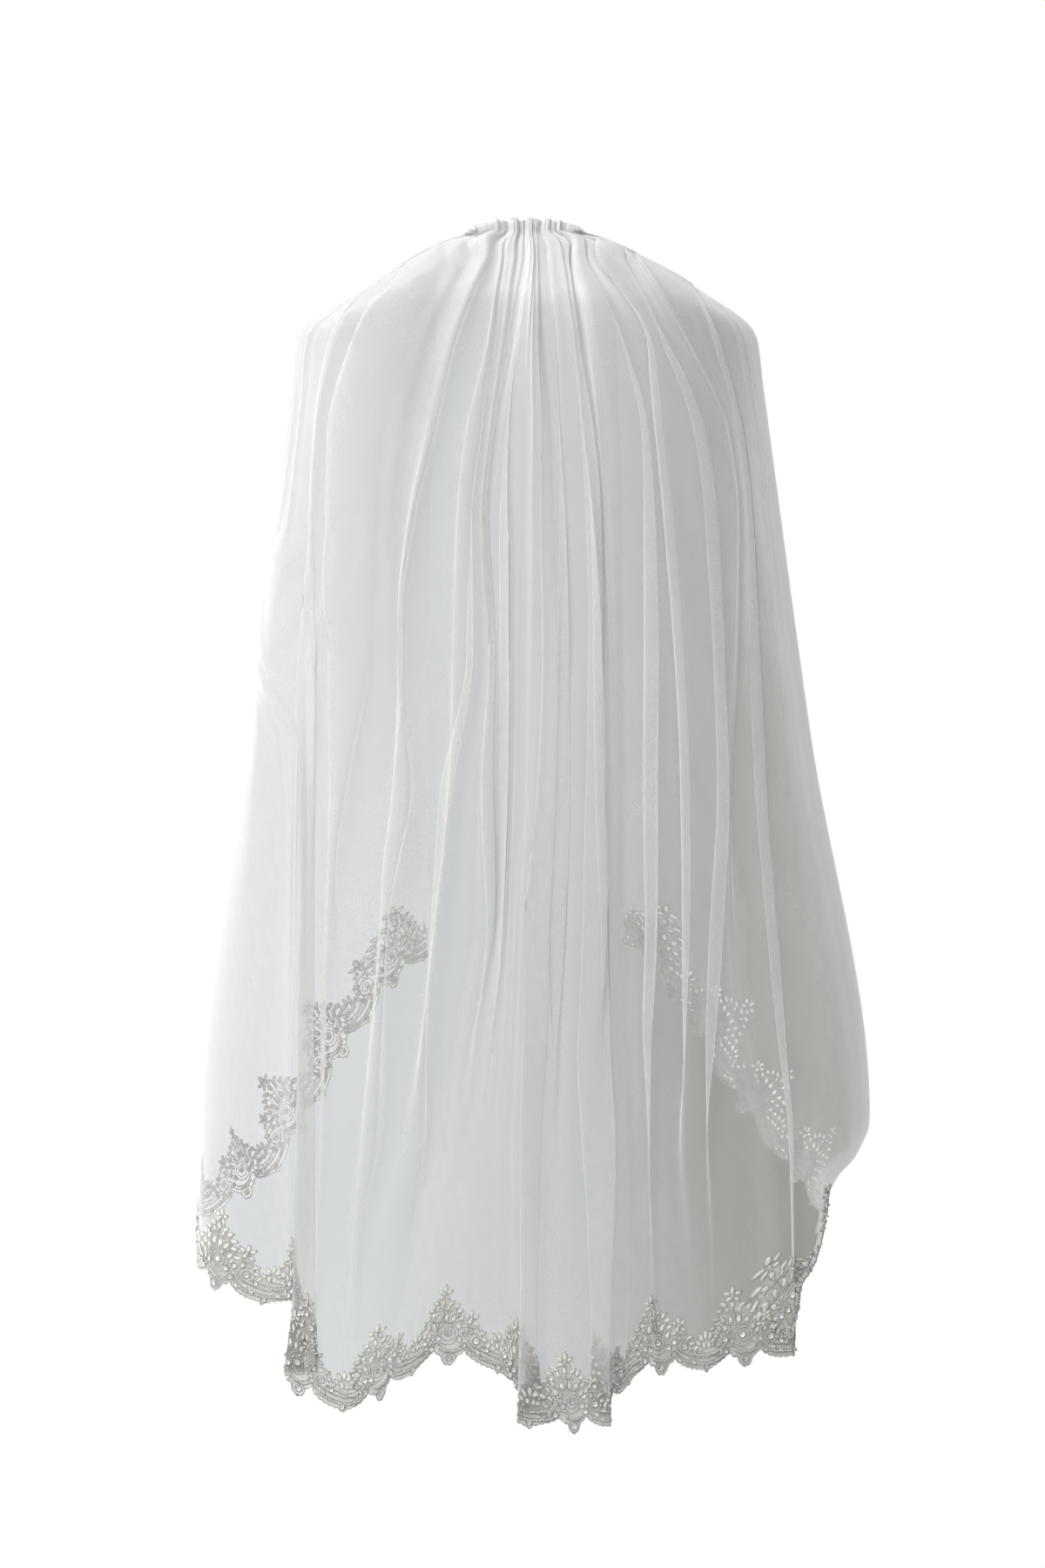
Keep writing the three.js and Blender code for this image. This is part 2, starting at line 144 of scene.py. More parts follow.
class EasyCurve:
    """A curve through knots that never overshoots them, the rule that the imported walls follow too."""

    def __init__(self, at: np.ndarray, value: np.ndarray) -> None:
        """Works out the slope at each knot.

        Args:
            at: the knots' places, in rising order.
            value: the value at each knot, with the knots on the first axis.
        """
        self.at = np.asarray(at, float)
        self.value = np.asarray(value, float)
        step = np.diff(self.at).reshape((-1,) + (1,) * (self.value.ndim - 1))
        chord = np.diff(self.value, axis=0) / step
        before, after = chord[:-1], chord[1:]
        near, far = 2 * step[1:] + step[:-1], step[1:] + 2 * step[:-1]
        with np.errstate(divide="ignore", invalid="ignore"):
            mean = (near + far) / (near / before + far / after)
        self.slope = np.zeros_like(self.value)
        self.slope[0], self.slope[-1] = chord[0], chord[-1]
        self.slope[1:-1] = np.where(before * after > 0, mean, 0.0)

    def __call__(self, x: np.ndarray) -> np.ndarray:
        """Values at the places x, one set for each place."""
        return self._blend(x, lambda table, i: table[i])

    def by_row(self, x: np.ndarray) -> np.ndarray:
        """Values where the second axis of the knots' values is a row and x holds the places of each row."""
        rows = np.arange(self.value.shape[1])
        return self._blend(x, lambda table, i: table[i, rows])

    def _blend(self, x: np.ndarray, pick: Callable[[np.ndarray, np.ndarray], np.ndarray]) -> np.ndarray:
        """The cubic between the two knots on each side of x.

        Args:
            x: the places.
            pick: takes a table of the knots and indices, and gives the entries.

        Returns:
            The values at x.
        """
        x = np.asarray(x, float)
        i = np.clip(np.searchsorted(self.at, x, side="right") - 1, 0, len(self.at) - 2)
        step = self.at[i + 1] - self.at[i]
        t = np.clip((x - self.at[i]) / step, 0, 1)
        low, high = pick(self.value, i), pick(self.value, i + 1)
        spare = (1,) * (low.ndim - t.ndim)
        t, step = t.reshape(t.shape + spare), step.reshape(step.shape + spare)
        s = 1 - t
        return (
            low * (1 + 2 * t) * s * s
            + high * t * t * (3 - 2 * t)
            + step * t * s * (pick(self.slope, i) * s - pick(self.slope, i + 1) * t)
        )


def smooth(x: np.ndarray | float, low: float, high: float) -> np.ndarray:
    """A soft step from 0 at low to 1 at high."""
    t = np.clip((np.asarray(x, float) - low) / (high - low), 0, 1)
    return t * t * (3 - 2 * t)


def unit(v: np.ndarray) -> np.ndarray:
    """Vectors of length one along the last axis."""
    return v / np.maximum(np.linalg.norm(v, axis=-1, keepdims=True), 1e-9)


def distances(path: np.ndarray) -> np.ndarray:
    """How far along a path each of its points is."""
    return np.concatenate([[0], np.cumsum(np.linalg.norm(np.diff(path, axis=0), axis=1))])


@dataclass
class Drape:
    """The draped cloth as a surface: a place along the hem and a share of the drop give a point."""

    # The gathers at the comb, and the ruffle above the stitching with its height and its loss at the ends.
    gather_width: float = 97.0
    gathered_cut: float = 0.62
    ruffle: tuple[float, float] = (8.6, 0.85)
    ruffle_lean: float = 0.6
    ruffle_end: tuple[float, float] = (0.008, 0.035)
    turned_in: tuple[float, float, float] = (0.97, 3.2, 2.6)
    stitch_depth: float = -4.9
    # How a rib leaves the comb, rises to its crest and falls.
    sideways: tuple[float, float] = (40.0, 150.0)
    leave: tuple[float, float] = (0.2, 9.0)
    lead: tuple[float, float, float] = (0.74, 7.5, 0.02)
    tail: float = 0.13
    fall: tuple[float, float] = (0.45, 0.88)
    placing_share: float = 0.9
    # The grid, and the search for the folds' paths on it.
    columns: int = 2400
    rows: int = 300
    halvings: int = 26
    least_gap: float = 8.5
    gathered_reach: tuple[float, float] = (45.0, 55.0)
    # The charted folds: how they grow, fade, sway, tighten with the cloth and open towards the hem.
    fold_growth: tuple[float, float] = (0.02, 0.34)
    gathered_depth: float = 0.35
    fold_reach: float = 3.2
    fade_in: tuple[float, float] = (10.0, 40.0)
    fade_out: float = 110.0
    sway: tuple[float, float, float] = (0.15, 5.0, 11.0)
    crowding: tuple[float, float] = (0.8, 0.2)
    hem_loss: tuple[float, float, float] = (0.85, 0.66, 0.97)
    opening: tuple[float, float] = (0.5, 1.0)
    ridge_power: float = 1.7
    lap_wave: tuple[float, float] = (0.707, 0.858)
    # Fine creases down the back, and broad waves on the sides and fronts.
    margin: tuple[float, float] = (60.0, 30.0)
    fine_folds: int = 64
    fine_width: tuple[float, float] = (3.0, 6.5)
    fine_depth: tuple[float, float] = (0.7, 2.4)
    fine_top: tuple[float, float] = (-0.1, 0.55)
    fine_length: tuple[float, float] = (0.25, 0.6)
    fine_fade: tuple[float, float] = (0.12, 0.15)
    fine_end: tuple[float, float] = (0.6, 0.85)
    fine_drift: float = 16.0
    fine_lap: float = 1.6
    broad_folds: int = 9
    broad_width: tuple[float, float] = (26.0, 48.0)
    broad_depth: float = 2.4
    broad_drift: float = 30.0
    broad_growth: tuple[float, float] = (0.12, 0.75)
    # The pleats at the comb: a count, a depth and how far each set reaches.
    pleats: tuple[tuple[int, float, float], ...] = ((7, 1.7, 0.2), (19, 0.7, 0.16), (41, 0.2, 0.12))
    pleat_width: tuple[float, float] = (0.6, 1.4)
    pleat_size: tuple[float, float] = (0.7, 1.3)
    pleat_reach: tuple[float, float] = (0.22, 0.55)
    calm_ends: tuple[float, float] = (0.5, 0.85)
    # Where the lace stands square to the hem, and how it climbs from it.
    square_from: tuple[float, float] = (20.0, 90.0)
    square_right: tuple[float, float] = (202.0, 216.0)
    climb: float = 64.0
    climb_step: float = 2.0
    end_fade: float = 70.0
    # The outline below the front's full corner, as height and x.
    turned_corner: tuple[tuple[float, float], ...] = (
        (-1000, 214), (-918, 219), (-868, 224), (-845, 238), (-812, 246), (-785, 250), (-766, 272),
        (-748, 286), (-700, 330), (0, 400),
    )
    corner_softness: float = 6.0
    seed: int = 11

    def __post_init__(self) -> None:
        """Lays out the bare rows, the folds' paths and the folded grid."""
        knots = [self._rib_knots(rib) for rib in RIBS]
        reach = [distances(k) for k in knots]
        curves = [EasyCurve(r / r[-1], k) for r, k in zip(reach, knots)]
        self.rib_place = distances(np.array([c(np.array([self.placing_share]))[0] for c in curves]))
        self.span = float(self.rib_place[-1])
        self.length = EasyCurve(self.rib_place, np.array([r[-1] for r in reach]))
        # Rows lie closer together near the comb, where the ruffle and the stitching are.
        self.shares = self.row_shares(self.rows)
        self.bare = EasyCurve(self.rib_place, np.array([c(self.shares) for c in curves]))
        crest = RIBS[:, 1]
        self.back = (self.rib_place[crest.argmin()], self.rib_place[crest.argmax()])
        self._chart_folds()
        self._fold()

    @staticmethod
    def row_shares(count: int) -> np.ndarray:
        """Shares of the drop that lie close together near the comb."""
        even = np.linspace(0, 1, count)
        return 0.1 * even + 0.9 * even**1.6

    def _rib_knots(self, rib: np.ndarray) -> np.ndarray:
        """The knots of one rib, from the ruffle above the comb down to the hem.

        Args:
            rib: its row of RIBS.

        Returns:
            The knots, in order.
        """
        gather, crest, belly_xy, flare_xy, hem = rib[0], rib[1:4], rib[4:6], rib[6:8], rib[8:11]
        share, inwards, drop_in = self.turned_in
        height = self.ruffle[0] * (1 - self.ruffle[1] * abs(gather / (self.gather_width / 2)) ** 3)
        stitch = np.array([gather, self.stitch_depth, 0.0])
        top = np.array([gather * (1 + share) / 2, self.stitch_depth + self.ruffle_lean, height])
        low = height - drop_in * height / self.ruffle[0]
        inner = np.array([gather * share, self.stitch_depth + inwards, low])
        drop = hem[2] - crest[2]
        belly = np.array([*belly_xy, crest[2] + drop * self.fall[0]])
        flare = np.array([*flare_xy, crest[2] + drop * self.fall[1]])
        outward = smooth(abs(crest[0]), *self.sideways)
        rise = np.array([0, 0, outward])
        leave = stitch + (crest - stitch) * self.leave[0] + rise * self.leave[1]
        near_crest, lift, lean = self.lead
        lead = stitch + (crest - stitch) * near_crest + rise * (lift + lean * crest[0])
        tail = crest + (belly - crest) * self.tail
        return np.array([inner, top, stitch, leave, lead, crest, tail, belly, flare, hem])

    def _chart_folds(self) -> None:
        """Finds where each fold's line crosses each row, as a place, and keeps the folds in order."""
        lines = [EasyCurve(FOLD_HEIGHTS[::-1], np.array(f.line, float)[::-1]) for f in FOLDS]
        shape = (len(FOLDS), self.rows)
        low, high = np.full(shape, self.back[0]), np.full(shape, self.back[1])
        for _ in range(self.halvings):
            middle = (low + high) / 2
            p = self.bare.by_row(middle)
            want = np.array([line(p[k, :, 2]) for k, line in enumerate(lines)])
            left = p[..., 0] < want
            low, high = np.where(left, middle, low), np.where(left, high, middle)
        path = (low + high) / 2
        # Above the first charted height the folds run straight into the gathers.
        centre = self.bare.by_row(np.full((1, self.rows), sum(self.back) / 2))[0, :, 2]
        first = int(np.argmax(centre < FOLD_HEIGHTS[0]))
        charted = np.array([fold.line[0] for fold in FOLDS], float)
        gathered = self.gathered_reach[0] * np.tanh(charted / self.gathered_reach[1])
        gathered = np.interp(gathered, RIBS[:, 0], self.rib_place)
        share = (self.shares[:first] / self.shares[first])[None, :]
        path[:, :first] = gathered[:, None] * (1 - share) + path[:, first][:, None] * share
        for k in range(1, len(FOLDS)):
            path[k] = np.maximum(path[k], path[k - 1] + self.least_gap)
        self.fold_path = path

    def _fold(self) -> None:
        """Makes the grid of folded points, one row of it for each share of the drop."""
        q = np.linspace(0, self.span, self.columns)
        home = self.fold_path[:, -1]
        knots = np.concatenate([[0], home, [self.span]])
        edge = np.zeros((1, self.rows))
        values = np.concatenate([edge, self.fold_path, edge + self.span])
        bare = self._turned(self.bare.by_row(EasyCurve(knots, values)(q)))
        self.bare_grid = bare
        across = np.gradient(bare, q, axis=0)
        down = np.gradient(bare, self.shares, axis=1)
        side, out = unit(across * [1, 1, 0]), unit(np.cross(down, across))
        push, slide = self._pushes(q, home, bare, np.minimum(np.linalg.norm(across, axis=-1), 1.0))
        self.grid = bare + out * push[..., None] + side * slide[..., None]
        self.q = q
        self.flat = distances(self.grid[:, -1])
        self.flat_width = float(self.flat[-1])

    def _turned(self, bare: np.ndarray) -> np.ndarray:
        """Draws the right side in below the front's full corner, where the hem turns back.

        Args:
            bare: the bare points.

        Returns:
            The points, none of them past the outline there.
        """
        most = EasyCurve(*np.array(self.turned_corner).T)(bare[..., 2]) - self.corner_softness
        over = np.maximum(bare[..., 0] - most, 0) / self.corner_softness
        drawn = np.minimum(bare[..., 0], most) + self.corner_softness * (1 - np.exp(-over))
        return np.concatenate([drawn[..., None], bare[..., 1:]], axis=-1)

    def _pushes(
        self, q: np.ndarray, home: np.ndarray, bare: np.ndarray, pace: np.ndarray
    ) -> tuple[np.ndarray, np.ndarray]:
        """How far each grid point moves outwards and sideways.

        Args:
            q: the place of each column along the hem.
            home: the place of each charted fold along the hem.
            bare: the bare points.
            pace: how wide the bare cloth is at each point against its width at the hem.

        Returns:
            The outward and the sideways distances.
        """
        rng = np.random.default_rng(self.seed)
        v = self.shares[None, :]
        grown = self.gathered_depth + (1 - self.gathered_depth) * smooth(v, *self.fold_growth)
        grown = grown * smooth(v, *self.ruffle_end)
        sway, slow, quick = self.sway
        loss, *near_hem = self.hem_loss
        crest_at, crest_height = self.lap_wave
        push, slide = np.zeros(bare.shape[:2]), np.zeros(bare.shape[:2])
        for fold, at in zip(FOLDS, home):
            t = ((q - at) / fold.width)[:, None]
            near = np.abs(t[:, 0]) < self.fold_reach
            z = bare[near, :, 2]
            shown = smooth(z, fold.last - self.fade_out, fold.last + self.fade_out)
            shown = shown * (1 - smooth(z, fold.first - self.fade_in[0], fold.first + self.fade_in[1]))
            wander = 1 + sway * np.sin(v * rng.uniform(slow, quick) + rng.uniform(0, 6))
            size = grown * wander * shown * (1 - loss * (1 - fold.hem) * smooth(v, *near_hem))
            size = size * pace[near] ** self.crowding[0]
            t = t[near]
            if fold.lie is Lie.RIDGE:
                push[near] += fold.depth * size * np.exp(-(np.abs(t) ** self.ridge_power))
                continue
            wave = 2 * t * np.exp(-t * t)
            open_low = 1 - (1 - fold.hem) * smooth(v, *self.opening)
            reach = (fold.strip + crest_at * fold.width) / crest_height
            push[near] += fold.lie.value * fold.depth * size * wave
            slide[near] -= reach * size * pace[near] ** self.crowding[1] * open_low * wave
        push += self._small_folds(q, v, rng, slide)
        push += self._gathers(v, bare, rng)
        return push, slide

    def _small_folds(
        self, q: np.ndarray, v: np.ndarray, rng: np.random.Generator, slide: np.ndarray
    ) -> np.ndarray:
        """Fine creases between the charted folds, and a few broad waves on the smooth sides and fronts.

        Args:
            q: the place of each column.
            v: the share of the drop of each row.
            rng: the source of the folds' chance sizes.
            slide: the sideways distances, which fine laps add to.

        Returns:
            The outward distances.
        """
        push = np.zeros((len(q), v.shape[1]))
        low, high = self.back[0] + self.margin[0], self.back[1] - self.margin[0]
        begin, end = self.fine_fade
        for _ in range(self.fine_folds):
            at = rng.uniform(low, high)
            width, depth = rng.uniform(*self.fine_width), rng.uniform(*self.fine_depth)
            top, length = rng.uniform(*self.fine_top), rng.uniform(*self.fine_length)
            shown = smooth(v, top, top + begin) * (1 - smooth(v, top + length - end, top + length))
            shown *= 1 - smooth(v, *self.fine_end)
            drift = rng.uniform(-self.fine_drift, self.fine_drift) * (v - 0.5)
            t = (q[:, None] - at - drift) / width
            push += depth * shown * np.exp(-t * t)
            slide -= rng.uniform(-self.fine_lap, self.fine_lap) * shown * t * np.exp(-t * t)
        left = rng.uniform(self.margin[1], low, self.broad_folds)
        right = rng.uniform(high, self.span - self.margin[1], self.broad_folds)
        for at in (*left, *right):
            width, depth = rng.uniform(*self.broad_width), rng.uniform(-self.broad_depth, self.broad_depth)
            drift = rng.uniform(-self.broad_drift, self.broad_drift) * (v - 0.6)
            t = (q[:, None] - at - drift) / width
            push += depth * smooth(v, *self.broad_growth) * np.exp(-t * t)
        return push

    def _gathers(self, v: np.ndarray, bare: np.ndarray, rng: np.random.Generator) -> np.ndarray:
        """The fine pleats that spread from the comb, of which some run on further down.

        Args:
            v: the share of the drop of each row.
            bare: the bare points.
            rng: the source of the pleats' chance sizes.

        Returns:
            The outward distances.
        """
        total = np.zeros(bare.shape[:2])
        across = np.clip(bare[:, 0, 0] / (self.gather_width * self.turned_in[0]) + 0.5, 0, 1 - 1e-9)
        at_ends = smooth(np.abs(2 * across - 1), *self.calm_ends)
        for count, depth, fade in self.pleats:
            # The pleats are of uneven width.
            edges = np.concatenate([[0], np.cumsum(rng.uniform(*self.pleat_width, count))])
            phase = np.interp(across, edges / edges[-1], np.arange(count + 1))
            pleat = np.minimum(phase.astype(int), count - 1)
            bump = (np.sin(math.pi * (phase - pleat)) ** 2)[:, None]
            tight = rng.uniform(*self.pleat_size, count)[pleat][:, None]
            lasting = rng.uniform(0, 1, count)[pleat][:, None] ** 1.5
            reach = rng.uniform(*self.pleat_reach, count)[pleat][:, None]
            near = 2 * depth * tight * (1 - at_ends)[:, None] * np.exp(-((v / fade) ** 2))
            far = 1.5 * depth * lasting * smooth(v, 0.02, 0.12) * np.exp(-((v / reach) ** 3))
            total += (near + far) * bump - near / 3
        return total

    def cut(self, flat: np.ndarray, height: np.ndarray, drop: np.ndarray) -> np.ndarray:
        """Where a spot lies across the flat cut, which is narrower at the comb than at the hem.

        Args:
            flat: distance along the hem.
            height: distance above the hem.
            drop: the cloth's length there.

        Returns:
            The distance across the cut from its left edge.
        """
        share = np.clip(height / drop, 0, 1)
        middle = self.flat_width / 2
        return middle + (flat - middle) * (1 - (1 - self.gathered_cut) * share)

    def cut_area(self) -> float:
        """The area of the flat cut, in square metres."""
        width = np.gradient(self.flat)
        return float((width * self.drop).sum() * (1 + self.gathered_cut) / 2 * MM * MM)

    def squared(self) -> None:
        """Finds the lines that the lace climbs by: up the cloth, or square to the hem where that is steep."""
        slopes = np.gradient(self.bare_grid, axis=0), np.gradient(self.bare_grid, axis=1)
        hem = self.bare_grid[:, -1]
        along, rise = unit(slopes[0][:, -1]), unit(-slopes[1][:, -1])
        square = unit(rise - (rise * along).sum(1)[:, None] * along)
        from_end = np.minimum(self.q, self.span - self.q)
        weight = np.maximum(smooth(hem[:, 1], *self.square_from), smooth(hem[:, 0], *self.square_right))
        weight *= smooth(from_end, 0, self.end_fade)
        aim = unit(rise + (square - rise) * weight[:, None])
        column, row = np.arange(self.columns, dtype=float), np.full(self.columns, self.rows - 1.0)
        lines = [(column, row)]
        for _ in range(int(self.climb / self.climb_step)):
            a, b = (self._between(table, column, row) for table in slopes)
            aa, ab, bb = (a * a).sum(1), (a * b).sum(1), (b * b).sum(1)
            towards_a, towards_b = (a * aim).sum(1), (b * aim).sum(1)
            spare = np.maximum(aa * bb - ab * ab, 1e-6)
            by_column = (towards_a * bb - towards_b * ab) / spare
            by_row = (towards_b * aa - towards_a * ab) / spare
            pace = self.climb_step / np.linalg.norm(a * by_column[:, None] + b * by_row[:, None], axis=1)
            column = np.clip(column + weight * pace * by_column, 0, self.columns - 1)
            row = row + weight * pace * by_row - (1 - weight) * self.climb_step / np.sqrt(bb)
            lines.append((column, row))
        self.climb_lines = np.array(lines)
        self.drop = self.length(self.q)

    def _between(self, table: np.ndarray, column: np.ndarray, row: np.ndarray) -> np.ndarray:
        """Values of a table of the grid between its columns and rows, running on past its last row.

        Args:
            table: a value for each column and row.
            column: columns, with fractions.
            row: rows, with fractions.

        Returns:
            The values there.
        """
        i = np.clip(column.astype(int), 0, self.columns - 2)
        j = np.clip(row.astype(int), 0, self.rows - 2)
        f, g = (column - i)[..., None], (row - j)[..., None]
        low = table[i, j] * (1 - f) + table[i + 1, j] * f
        high = table[i, j + 1] * (1 - f) + table[i + 1, j + 1] * f
        return low * (1 - g) + high * g

    def up_the_cloth(self, flat: np.ndarray, height: np.ndarray) -> np.ndarray:
        """Points straight up the cloth from the hem.

        Args:
            flat: distance along the hem as it lies flat.
            height: distance above the hem, or below it if negative.

        Returns:
            The points, in millimetres.
        """
        column = np.interp(flat, self.flat, np.arange(self.columns))
        share = 1 - height / np.interp(column, np.arange(self.columns), self.drop)
        row = np.interp(share, self.shares, np.arange(self.rows))
        row = row + np.maximum(share - 1, 0) / (self.shares[-1] - self.shares[-2])
        return self._between(self.grid, column, row)

    def above_hem(self, flat: np.ndarray, height: np.ndarray) -> np.ndarray:
        """Points of the lace band at a distance along the flat hem and a height above it.

        Args:
            flat: distance along the hem as it lies flat.
            height: distance above the hem, or below it if negative.

        Returns:
            The points, in millimetres.
        """
        start = np.interp(flat, self.flat, np.arange(self.columns))
        i = np.clip(start.astype(int), 0, self.columns - 2)
        k = np.clip((height / self.climb_step).astype(int), 0, len(self.climb_lines) - 2)
        f, g = start - i, height / self.climb_step - k
        lines = self.climb_lines
        column, row = (
            (lines[k, a, i] * (1 - f) + lines[k, a, i + 1] * f) * (1 - g)
            + (lines[k + 1, a, i] * (1 - f) + lines[k + 1, a, i + 1] * f) * g
            for a in (0, 1)
        )
        return self._between(self.grid, np.clip(column, 0, self.columns - 1), row)


def add_node(
    tree: bpy.types.NodeTree, kind: str, settings: dict | None = None, values: dict | None = None
) -> bpy.types.Node:
    """Adds a node to a tree.

    Args:
        tree: the tree.
        kind: the node's type.
        settings: its properties, set first.
        values: what goes into each input, by name or number: a socket, a number or a tuple.

    Returns:
        The node.
    """
    made = tree.nodes.new(kind)
    for key, value in (settings or {}).items():
        setattr(made, key, value)
    for key, value in (values or {}).items():
        if isinstance(value, bpy.types.NodeSocket):
            tree.links.new(value, made.inputs[key])
        else:
            made.inputs[key].default_value = value
    return made


class Sock:
    """A shader socket that takes part in Python arithmetic."""

    def __init__(self, graph: "Graph", socket: bpy.types.NodeSocket) -> None:
        """Keeps the socket and the graph that it is in."""
        self.graph, self.socket = graph, socket

    def _math(self, operation: str, *values: "Sock | float") -> "Sock":
        """A Math node on these values."""
        return self.graph.node("ShaderNodeMath", dict(operation=operation), dict(enumerate(values)))

    def __add__(self, other: "Sock | float") -> "Sock":
        """Sum."""
        return self._math("ADD", self, other)

    def __mul__(self, other: "Sock | float") -> "Sock":
        """Product."""
        return self._math("MULTIPLY", self, other)

    def __sub__(self, other: "Sock | float") -> "Sock":
        """Difference."""
        return self._math("SUBTRACT", self, other)

    def __rsub__(self, other: float) -> "Sock":
        """Difference, with the socket on the right."""
        return self._math("SUBTRACT", other, self)

    def __truediv__(self, other: "Sock | float") -> "Sock":
        """Quotient."""
        return self._math("DIVIDE", self, other)

    def __rtruediv__(self, other: float) -> "Sock":
        """Quotient, with the socket below."""
        return self._math("DIVIDE", other, self)

    def __pow__(self, other: "Sock | float") -> "Sock":
        """Power."""
        return self._math("POWER", self, other)

    def __rpow__(self, other: float) -> "Sock":
        """Power, with the socket as the exponent."""
        return self._math("POWER", other, self)

    __radd__, __rmul__ = __add__, __mul__

    def at_least(self, other: float) -> "Sock":
        """The larger of the two."""
        return self._math("MAXIMUM", self, other)

    def at_most(self, other: float) -> "Sock":
        """The smaller of the two."""
        return self._math("MINIMUM", self, other)

    def sine(self) -> "Sock":
        """Sine."""
        return self._math("SINE", self)

    def ramp(self, low: float, high: float) -> "Sock":
        """A clamped soft map from low and high to 0 and 1."""
        values = {"Value": self, "From Min": low, "From Max": high}
        return self.graph.node("ShaderNodeMapRange", dict(interpolation_type="SMOOTHSTEP"), values)


class Graph:
    """The node tree of a material or of the world."""

    def __init__(self, owner: bpy.types.Material | bpy.types.World) -> None:
        """Starts with the owner's tree, emptied."""
        owner.use_nodes = True
        self.owner, self.tree = owner, owner.node_tree
        self.tree.nodes.clear()

    def add(self, kind: str, settings: dict | None = None, values: dict | None = None) -> bpy.types.Node:
        """Adds a node.

        Args:
            kind: the node's type.
            settings: its properties, such as a Math node's operation, set first.
            values: what goes into each input, by name or number: a Sock, a number or a tuple.

        Returns:
            The node.
        """
        values = values or {}
        plain = {key: value.socket if isinstance(value, Sock) else value for key, value in values.items()}
        return add_node(self.tree, kind, settings, plain)

    def node(
        self, kind: str, settings: dict | None = None, values: dict | None = None, out: int | str = 0
    ) -> Sock:
        """Adds a node and gives one of its outputs."""
        return Sock(self, self.add(kind, settings, values).outputs[out])

    def finish(self, shader: Sock) -> bpy.types.Material | bpy.types.World:
        """Joins the shader to the output and gives the owner."""
        kind = "World" if isinstance(self.owner, bpy.types.World) else "Material"
        self.add(f"ShaderNodeOutput{kind}", None, {"Surface": shader})
        return self.owner

    def noise(
        self, scale: float, detail: float = 2.0, roughness: float = 0.5, where: Sock | None = None
    ) -> Sock:
        """A noise texture on Object coordinates, or on the place given."""
        where = where or self.node("ShaderNodeTexCoord", out="Object")
        values = {"Vector": where, "Scale": scale, "Detail": detail, "Roughness": roughness}
        return self.node("ShaderNodeTexNoise", None, values)

    def blend(self, factor: Sock | float, first: Sock | tuple, second: Sock | tuple) -> Sock:
        """A colour between two, given as sockets or as RGBA."""
        return self.node("ShaderNodeMix", dict(data_type="RGBA"), {0: factor, 6: first, 7: second}, out=2)

    def bump(self, height: Sock, distance: float, strength: float) -> Sock:
        """A normal raised by a height."""
        values = {"Height": height, "Distance": distance, "Strength": strength}
        return self.node("ShaderNodeBump", None, values)

    def on_cloth(self) -> tuple[Sock, Sock]:
        """The place across and along the flat cloth, from the piece's UV map."""
        uv = self.node("ShaderNodeUVMap", dict(uv_map="cloth"))
        parts = self.add("ShaderNodeSeparateXYZ", None, {0: uv})
        return Sock(self, parts.outputs[0]), Sock(self, parts.outputs[1])

    def number(self, name: str) -> Sock:
        """The number of that name that each point of the piece carries."""
        return self.node("ShaderNodeAttribute", dict(attribute_name=name), out="Fac")

    def surface(self, values: dict) -> Sock:
        """A Principled surface with these inputs."""
        return self.node("ShaderNodeBsdfPrincipled", None, values)

    def lit_through(self, body: Sock, colour: tuple[float, float, float, float], share: float) -> Sock:
        """A surface that passes on a share of the light that falls on its far side."""
        glow = self.node("ShaderNodeBsdfTranslucent", None, {"Color": colour})
        return self.node("ShaderNodeMixShader", None, {0: share, 1: body, 2: glow})

    def open_weave(self, cloth: Sock, cover: Sock) -> Sock:
        """A surface with clear gaps, of which the threads cover a share."""
        clear = self.node("ShaderNodeBsdfTransparent")
        return self.node("ShaderNodeMixShader", None, {0: cover, 1: clear, 2: cloth})


def new_material(name: str) -> Graph:
    """An empty material of that name, as its graph."""
    return Graph(bpy.data.materials.new(name))


@dataclass(frozen=True)
class NetFinish:
    """Soft net: fine threads that cover more where the cloth is bunched or seen on edge."""

    colour: tuple[float, float, float, float] = (0.83, 0.83, 0.82, 1.0)
    shade: tuple[float, float, float, float] = (0.79, 0.795, 0.79, 1.0)
    cover: float = 0.30
    cell: float = 0.0011
    weave: float = 0.04
    edge_on: float = 0.09
    through: float = 0.42
    roughness: float = 0.55

    def material(self) -> bpy.types.Material:
        """Builds the material."""
        g = new_material("tulle_net")
        across, along = g.on_cloth()
        facing = g.node("ShaderNodeLayerWeight", None, {"Blend": 0.5}, out="Facing")
        head_on = (1.0 - facing).at_least(self.edge_on)
        # The threads wander a little, by two crossed waves.
        uneven = (across * 410.0 + along * 190.0).sine() + (along * 330.0 - across * 150.0).sine()
        drift = uneven * self.cell
        across, along = across + drift, along + drift * 0.7
        # Three waves at a sixth of a turn from each other make six-sided cells.
        turn = 2 * math.pi / self.cell
        slant = across * (turn * 0.5) + 1.0
        rise = along * (turn * 0.866)
        cells = (across * turn).sine() + (slant + rise).sine() + (slant - rise).sine()
        threads = 1.0 - cells * self.weave
        depth = -math.log(1 - self.cover)
        cover = 1.0 - math.e ** (g.number("bunching") * threads / head_on * -depth)
        colour = g.blend(uneven.ramp(-2.0, 2.0), self.colour, self.shade)
        cloth = g.surface({"Base Color": colour, "Roughness": self.roughness})
        return g.finish(g.open_weave(g.lit_through(cloth, self.colour, self.through), cover))


def linked(name: str, data: bpy.types.ID) -> bpy.types.Object:
    """An object for a mesh, lamp or camera, linked to the scene."""
    made = bpy.data.objects.new(name, data)
    bpy.context.scene.collection.objects.link(made)
    return made


